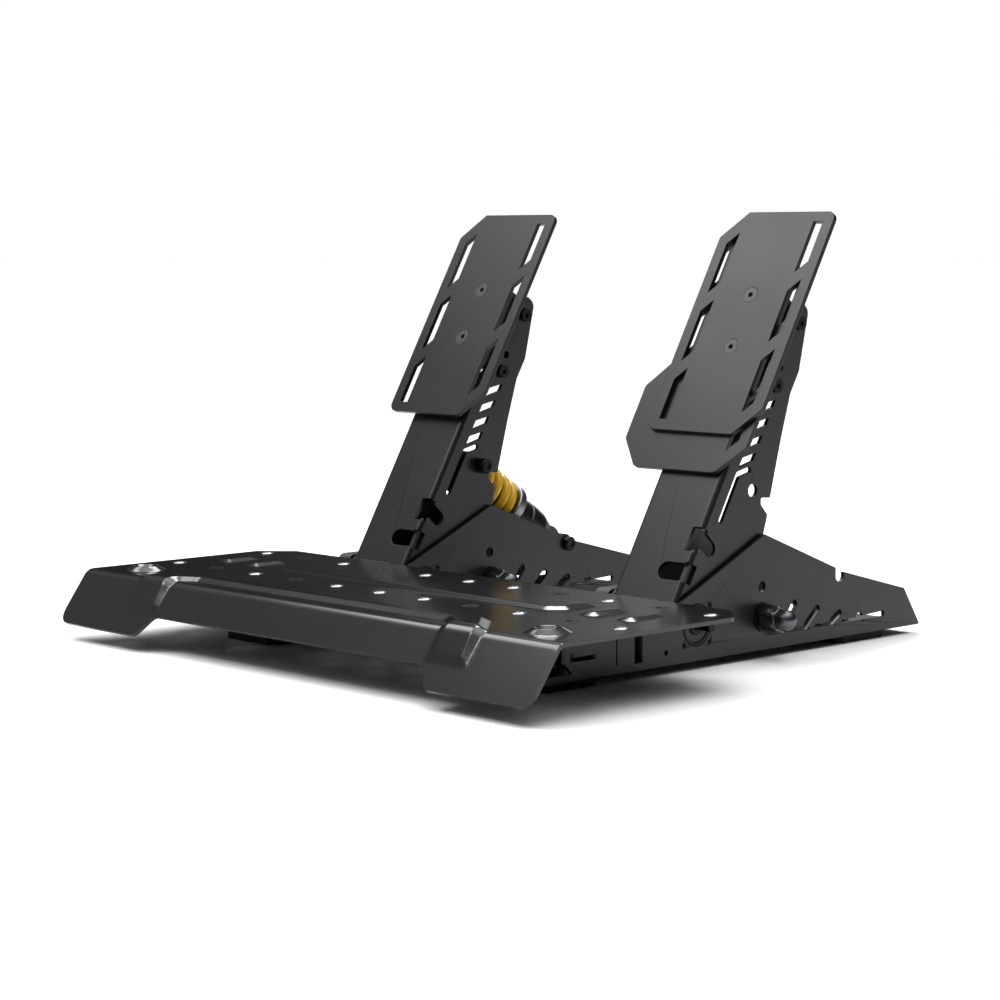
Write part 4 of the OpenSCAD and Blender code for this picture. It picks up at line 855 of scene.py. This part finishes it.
class PEDALS_OT_damper(bpy.types.Operator):
    """Damper barrel, grey collar, piston rod and front eye"""
    bl_idname = "pedals.damper"
    bl_label = "Damper"

    def execute(self, context):
        parts = joined(revolved(open_rounded(BARREL_PROFILE), 72), cross_barrel(**REAR_EYE, z=DAMPER_LENGTH))
        add_piece("damper_barrel_black", *parts, in_damper, "damper_barrel", "damper_black", ["damper_body"])
        collar = open_rounded(COLLAR_PROFILE)
        points, faces = revolved(np.concatenate([collar, collar[:1]]) + [0, COIL_END], 96)
        add_piece("damper_grey_collar", points, faces, in_damper, "damper_barrel", "collar_grey",
                  ["damper_collar"])
        add_piece("damper_piston_rod", *revolved(open_rounded(ROD_PROFILE), 40), in_damper, "damper_plunger",
                  "rod_chrome", ["damper_rod"])
        parts = joined(revolved(open_rounded(SEAT_PROFILE), 72), cross_barrel(**FRONT_EYE, z=0))
        add_piece("damper_front_eye", *parts, in_damper, "damper_plunger", "black_zinc", ["damper_eye"])
        return {"FINISHED"}


BOLT = np.array([0.0, 106.0, -17.5])
WALL_OUT = 28.75
ARM_HALF = 25.5
WASHER = 1.6
RING_SIDES = 48
TURNED_ANGLE = 28.0
NUT_ACROSS, NUT_HEIGHT, NUT_DOME = 14.0, 11.0, 11.5
NUT_CAP = NUT_ACROSS * 0.44
NUT_BORE = [(0.0, 9.5), (4.0, 9.5), (4.0, 0)]
BOLT_ACROSS, BOLT_HEAD = 13.0, 5.3
BOLT_END = 2 * WALL_OUT + WASHER + NUT_HEIGHT
CORNER_TURN = 0.9
FRONT_PIN = {"radius": 4.0, "half": ARM_HALF, "cap": 8.0}
REAR_PIN = {"radius": 3.85, "half": WALL_OUT, "cap": 4.0}
PIN_CLIP = 2.5
PIN_CAP_RADIUS = 5.0


def ring(radius, z):
    """A ring of points round Z, whose radius may change with the angle."""
    angle = np.linspace(0, 2 * np.pi, RING_SIDES, endpoint=False)
    return np.stack([radius * np.cos(angle), radius * np.sin(angle), z + 0 * angle], -1)


def hexagon_ring(across, z, shrink=0.0):
    """A ring of points on a hexagon of that width across its flats, drawn in by shrink at its corners only:
    radius = half the width / cos of the angle from the nearest flat's middle, cut off at the corners."""
    angle = np.linspace(0, 2 * np.pi, RING_SIDES, endpoint=False)
    radius = across / 2 / np.cos((angle + np.pi / 6) % (np.pi / 3) - np.pi / 6)
    return ring(np.minimum(radius, across / 2 / math.cos(math.pi / 6) - shrink), z)


def cap_nut_shape():
    """Cap nut: its bore, hexagon rings whose corners are turned off at both ends, then a round cap: a short
    cylinder and a quarter circle, point = (r cos a, r sin a) from the cap's foot."""
    straight = NUT_DOME - NUT_CAP
    rings = [ring(r, z) for r, z in NUT_BORE]
    rings += [hexagon_ring(NUT_ACROSS, 0, CORNER_TURN), hexagon_ring(NUT_ACROSS, 0.8),
              hexagon_ring(NUT_ACROSS, NUT_HEIGHT - 0.9), hexagon_ring(NUT_ACROSS, NUT_HEIGHT, 0.95)]
    foot = NUT_HEIGHT + straight
    rings += [ring(NUT_CAP + 0.25, NUT_HEIGHT + 0.05), ring(NUT_CAP, NUT_HEIGHT + 0.5), ring(NUT_CAP, foot)]
    rings += [ring(NUT_CAP * math.cos(lift), foot + NUT_CAP * math.sin(lift))
              for lift in np.linspace(0, np.pi / 2, 10)[1:]]
    return np.concatenate(rings), grid_faces(len(rings), RING_SIDES, wrap=True)


def bolt_shape():
    """Hexagon-head bolt along +Z: rings of the flat hexagon head with turned corners, then of its shank."""
    rings = [ring(r, z) for r, z in ((0.0, 0.4 - BOLT_HEAD), (4.6, 0.4 - BOLT_HEAD), (5.0, -BOLT_HEAD))]
    rings += [hexagon_ring(BOLT_ACROSS, -BOLT_HEAD, CORNER_TURN), hexagon_ring(BOLT_ACROSS, 0.8 - BOLT_HEAD),
              hexagon_ring(BOLT_ACROSS, 0)]
    tip = BOLT_END - 1.8
    rings += [ring(r, z) for r, z in ((4.0, 0), (4.0, BOLT_END - 2.6), (3.3, tip), (0.0, tip))]
    return np.concatenate(rings), grid_faces(len(rings), RING_SIDES, wrap=True)


def pin_shape(radius, half, cap):
    """Clevis pin along X: a clip on the left, the shank, and a tall cap with a broken rim on the right."""
    clip, top = -half - PIN_CLIP, half + cap
    profile = open_rounded([[0, clip, 0], [PIN_CAP_RADIUS - 0.4, clip, 0.4], [PIN_CAP_RADIUS, clip + 0.6, 0],
                            [PIN_CAP_RADIUS, -half, 0.2], [radius, -half, 0], [radius, half, 0],
                            [PIN_CAP_RADIUS, half, 0.2], [PIN_CAP_RADIUS, top - 1.2, 0.4],
                            [PIN_CAP_RADIUS - 1.0, top, 0.5], [2.2, top, 0.2], [1.9, top - 1.0, 0.2],
                            [0, top - 1.0, 0]])
    points, faces = revolved(profile, RING_SIDES)
    return along_x(points), faces


class PEDALS_OT_bolts(bpy.types.Operator):
    """Cross bolts with their cap nuts, and the damper's two pins"""
    bl_idname = "pedals.bolts"
    bl_label = "Cross Bolts and Pins"

    def execute(self, context):
        for side, x in (("brake", BRAKE_X), ("throttle", THROTTLE_X)):
            points, faces = cap_nut_shape()
            points = along_x(points) + BOLT + [x + WALL_OUT + WASHER, 0, 0]
            add_piece(side + "_cap_nut", points, faces, in_seat, "base", "black_zinc", [side + "_dome_nut"],
                      look="dark_nickel", sharp=TURNED_ANGLE)
            points, faces = bolt_shape()
            points = along_x(points) + BOLT + [x - WALL_OUT, 0, 0]
            add_piece(side + "_hex_bolt", points, faces, in_seat, "base", "black_zinc",
                      [side + "_cross_bolt"], sharp=TURNED_ANGLE)
        points, faces = pin_shape(**FRONT_PIN)
        add_piece("damper_front_clevis_pin", points + DAMPER_FRONT, faces, in_seat, "brake_pedal",
                  "black_zinc", ["damper_front_pin"], sharp=TURNED_ANGLE)
        points, faces = pin_shape(**REAR_PIN)
        add_piece("damper_rear_clevis_pin", points + DAMPER_REAR, faces, in_seat, "base", "black_zinc",
                  ["damper_rear_pin"], sharp=TURNED_ANGLE)
        return {"FINISHED"}


# Stage: places and directions are in the part's frame, in metres

CAMERA_PLACE = tuple(SEAT * MM + [1.14595, -1.06687, 0.20735])
CAMERA_AZIMUTH = 46.34
CAMERA_ELEVATION = 5.72
CAMERA_LENS = 91.70
CAMERA_SENSOR = 36.0
VIEW_DEPTH = 200.0
# Place, target and size of each softbox
SOFTBOXES = {
    "left": ((-1.27, -0.41, 1.6), (0.0, 0.0, 0.1), (1.6, 0.45)),
    "back": ((-0.85, 0.8, 1.45), (0.0, -0.05, 0.05), (0.6, 0.6)),
    "front": ((-0.6, -1.15, 1.5), (0.0, -0.15, 0.05), (0.4, 0.4)),
}
# Direction of each glow in the room, and the power that narrows it
GLOWS = {
    "rear": ((-0.5, 0.866, 0.0), 70.0),
    "corner": ((-0.6, -0.8, 0.0), 2.0),
    "ceiling": ((0.0, 0.0, 1.0), 6.0),
}
WHITE = (1.0, 1.0, 1.0)
FLOOR_RADII = (0.0, 400.0, 2000.0, 9000.0, 40000.0)
FLOOR_SIDES = 96


def area_light(name, place, target, size, power):
    """A soft rectangular light at place, turned to face target."""
    data = bpy.data.lights.new(name, "AREA")
    data.shape = "RECTANGLE"
    data.size, data.size_y = size
    data.energy = power
    light = bpy.data.objects.new(name, data)
    light.location = place
    light.rotation_euler = (Vector(target) - Vector(place)).to_track_quat("-Z", "Y").to_euler()
    bpy.context.scene.collection.objects.link(light)


def side_glow(tree, way, towards, power, strength, rest):
    """Light from one side of the room: rest plus strength times a power of the cosine to that side."""
    cosine = add_node(tree, "ShaderNodeVectorMath", {0: way, 1: towards}, operation="DOT_PRODUCT")
    facing = add_node(tree, "ShaderNodeMath", {0: cosine.outputs["Value"], 1: 0.0}, operation="MAXIMUM")
    narrowed = add_node(tree, "ShaderNodeMath", {0: facing.outputs[0], 1: power}, operation="POWER")
    glow = add_node(tree, "ShaderNodeMath", {0: narrowed.outputs[0], 1: strength, 2: rest},
                    operation="MULTIPLY_ADD")
    return glow.outputs[0]


def studio_surround(light):
    """A dim room under a bright ceiling, with a broad glow at the front left and a narrow one at the rear:
    radiance = walls + the glows of all three. The camera itself sees plain white behind the object."""
    world = bpy.data.worlds.new("Studio")
    world.use_nodes = True
    tree = world.node_tree
    tree.nodes.clear()
    way = add_node(tree, "ShaderNodeTexCoord").outputs["Generated"]
    room = light.walls
    for side, (towards, power) in GLOWS.items():
        room = side_glow(tree, way, towards, power, getattr(light, side), room)
    seen = add_node(tree, "ShaderNodeLightPath").outputs["Is Camera Ray"]
    lit = add_node(tree, "ShaderNodeBackground", {"Color": WHITE, "Strength": room})
    plain = add_node(tree, "ShaderNodeBackground", {"Color": WHITE, "Strength": 1.0})
    mix = add_node(tree, "ShaderNodeMixShader", {0: seen, 1: lit.outputs[0], 2: plain.outputs[0]})
    add_node(tree, "ShaderNodeOutputWorld", {"Surface": mix.outputs[0]})
    return world


def pale_floor():
    """A round white paper floor, wide enough to reach the horizon in every view."""
    points, faces = revolved([[radius, 0.0] for radius in FLOOR_RADII], FLOOR_SIDES)
    mesh = bpy.data.meshes.new("studio_floor")
    mesh.from_pydata((points * MM).tolist(), [], faces.tolist())
    tidy_mesh(mesh)
    if mesh.polygons[0].normal.z < 0:
        mesh.flip_normals()
    mesh.materials.append(finish("studio_paper"))
    floor = bpy.data.objects.new("studio_floor", mesh)
    bpy.context.scene.collection.objects.link(floor)


def studio_camera():
    """The camera, turned back along its azimuth and elevation."""
    camera = bpy.data.objects.new("camera", bpy.data.cameras.new("camera"))
    camera.data.lens = CAMERA_LENS
    camera.data.sensor_width = CAMERA_SENSOR
    camera.data.clip_end = VIEW_DEPTH
    camera.location = CAMERA_PLACE
    a, e = math.radians(CAMERA_AZIMUTH), math.radians(CAMERA_ELEVATION)
    back = Vector((math.sin(a) * math.cos(e), -math.cos(a) * math.cos(e), math.sin(e)))
    camera.rotation_euler = back.to_track_quat("Z", "Y").to_euler()
    bpy.context.scene.collection.objects.link(camera)
    return camera


class PEDALS_OT_stage(bpy.types.Operator):
    """Pale floor, soft studio light and the camera"""
    bl_idname = "pedals.stage"
    bl_label = "Stage"

    def execute(self, context):
        scene = context.scene
        light = scene.pedal_light
        pale_floor()
        scene.world = studio_surround(light)
        for side, (place, target, size) in SOFTBOXES.items():
            area_light(side + "_softbox", place, target, size, getattr(light, side))
        scene.camera = studio_camera()
        scene.view_settings.view_transform = "Standard"
        return {"FINISHED"}


# Settings, panel and run


def colour_setting(name, description, default):
    return FloatVectorProperty(name=name, description=description, subtype="COLOR", size=3, min=0, max=1,
                               default=linear(default))


def light_setting(name, description, default, unit="NONE"):
    return FloatProperty(name=name, description=description, default=default, min=0, unit=unit)


class PedalColours(bpy.types.PropertyGroup):
    """Colours of the finishes"""
    powder_coat: colour_setting("Powder Coat", "Colour of the sheet metal", "#131415")
    black_zinc: colour_setting("Black Zinc", "Colour of screws, shafts and pins", "#1c1d1e")
    screw_coat: colour_setting("Face Screws", "Colour of the coated screws on the face plates", "#2c2d2f")
    steel: colour_setting("Steel", "Colour of bare steel parts", "#8d9094")
    nickel: colour_setting("Cap Nuts", "Colour of the dark nickel on the cap nuts", "#5f6165")
    chrome: colour_setting("Piston Rod", "Colour of the hard chrome on the rod", "#d9dcdf")
    shell: colour_setting("Socket Shell", "Colour of sockets and bare hole walls", "#b8bbbf")
    spring: colour_setting("Damper Spring", "Colour of the damper's spring", "#e0b20a")
    collar: colour_setting("Collar", "Colour of the damper's collar", "#8a8d90")
    barrel: colour_setting("Damper Barrel", "Colour of the damper's barrel", "#121213")
    rubber: colour_setting("Rubber", "Colour of feet and buffers", "#0f0f10")
    plastic: colour_setting("Plastic", "Colour of housings", "#161718")
    board: colour_setting("Circuit Board", "Colour of the solder mask", "#12492c")
    floor: colour_setting("Floor", "Colour of the studio floor", "#fafafa")


class PedalLight(bpy.types.PropertyGroup):
    """Strengths of the studio lights"""
    walls: light_setting("Walls", "Brightness of the room's walls", 0.012)
    rear: light_setting("Rear Wall", "Brightness of the glow at the rear", 3.6)
    corner: light_setting("Front Wall", "Brightness of the wall at the front left", 0.4)
    ceiling: light_setting("Ceiling", "Brightness of the room's ceiling", 4.4)
    left: light_setting("Left", "Power of the left softbox", 12.0, "POWER")
    back: light_setting("Back", "Power of the back softbox", 11.0, "POWER")
    front: light_setting("Front", "Power of the front softbox", 6.0, "POWER")


STEPS = [PEDALS_OT_stage, PEDALS_OT_heel_plate, PEDALS_OT_sheet_metal, PEDALS_OT_hardware, PEDALS_OT_bolts,
         PEDALS_OT_rubber, PEDALS_OT_electronics, PEDALS_OT_springs, PEDALS_OT_damper]


class PEDALS_PT_set(bpy.types.Panel):
    """Lists the steps and settings of the pedal set"""
    bl_idname = "PEDALS_PT_set"
    bl_label = "Pedal Set"
    bl_space_type = "VIEW_3D"
    bl_region_type = "UI"
    bl_category = "Pedals"

    def draw(self, context):
        layout = self.layout
        for step in STEPS:
            layout.operator(step.bl_idname)
        for group in (context.scene.pedal_colours, context.scene.pedal_light):
            box = layout.box()
            for key in group.__annotations__:
                box.prop(group, key)


CLASSES = [PedalColours, PedalLight, *STEPS, PEDALS_PT_set]


def register():
    for item in CLASSES:
        bpy.utils.register_class(item)
    bpy.types.Scene.pedal_colours = PointerProperty(type=PedalColours)
    bpy.types.Scene.pedal_light = PointerProperty(type=PedalLight)


def unregister():
    del bpy.types.Scene.pedal_colours
    del bpy.types.Scene.pedal_light
    for item in reversed(CLASSES):
        bpy.utils.unregister_class(item)


def main():
    register()
    for step in STEPS:
        group, name = step.bl_idname.split(".")
        getattr(getattr(bpy.ops, group), name)()


if __name__ == "__main__":
    main()
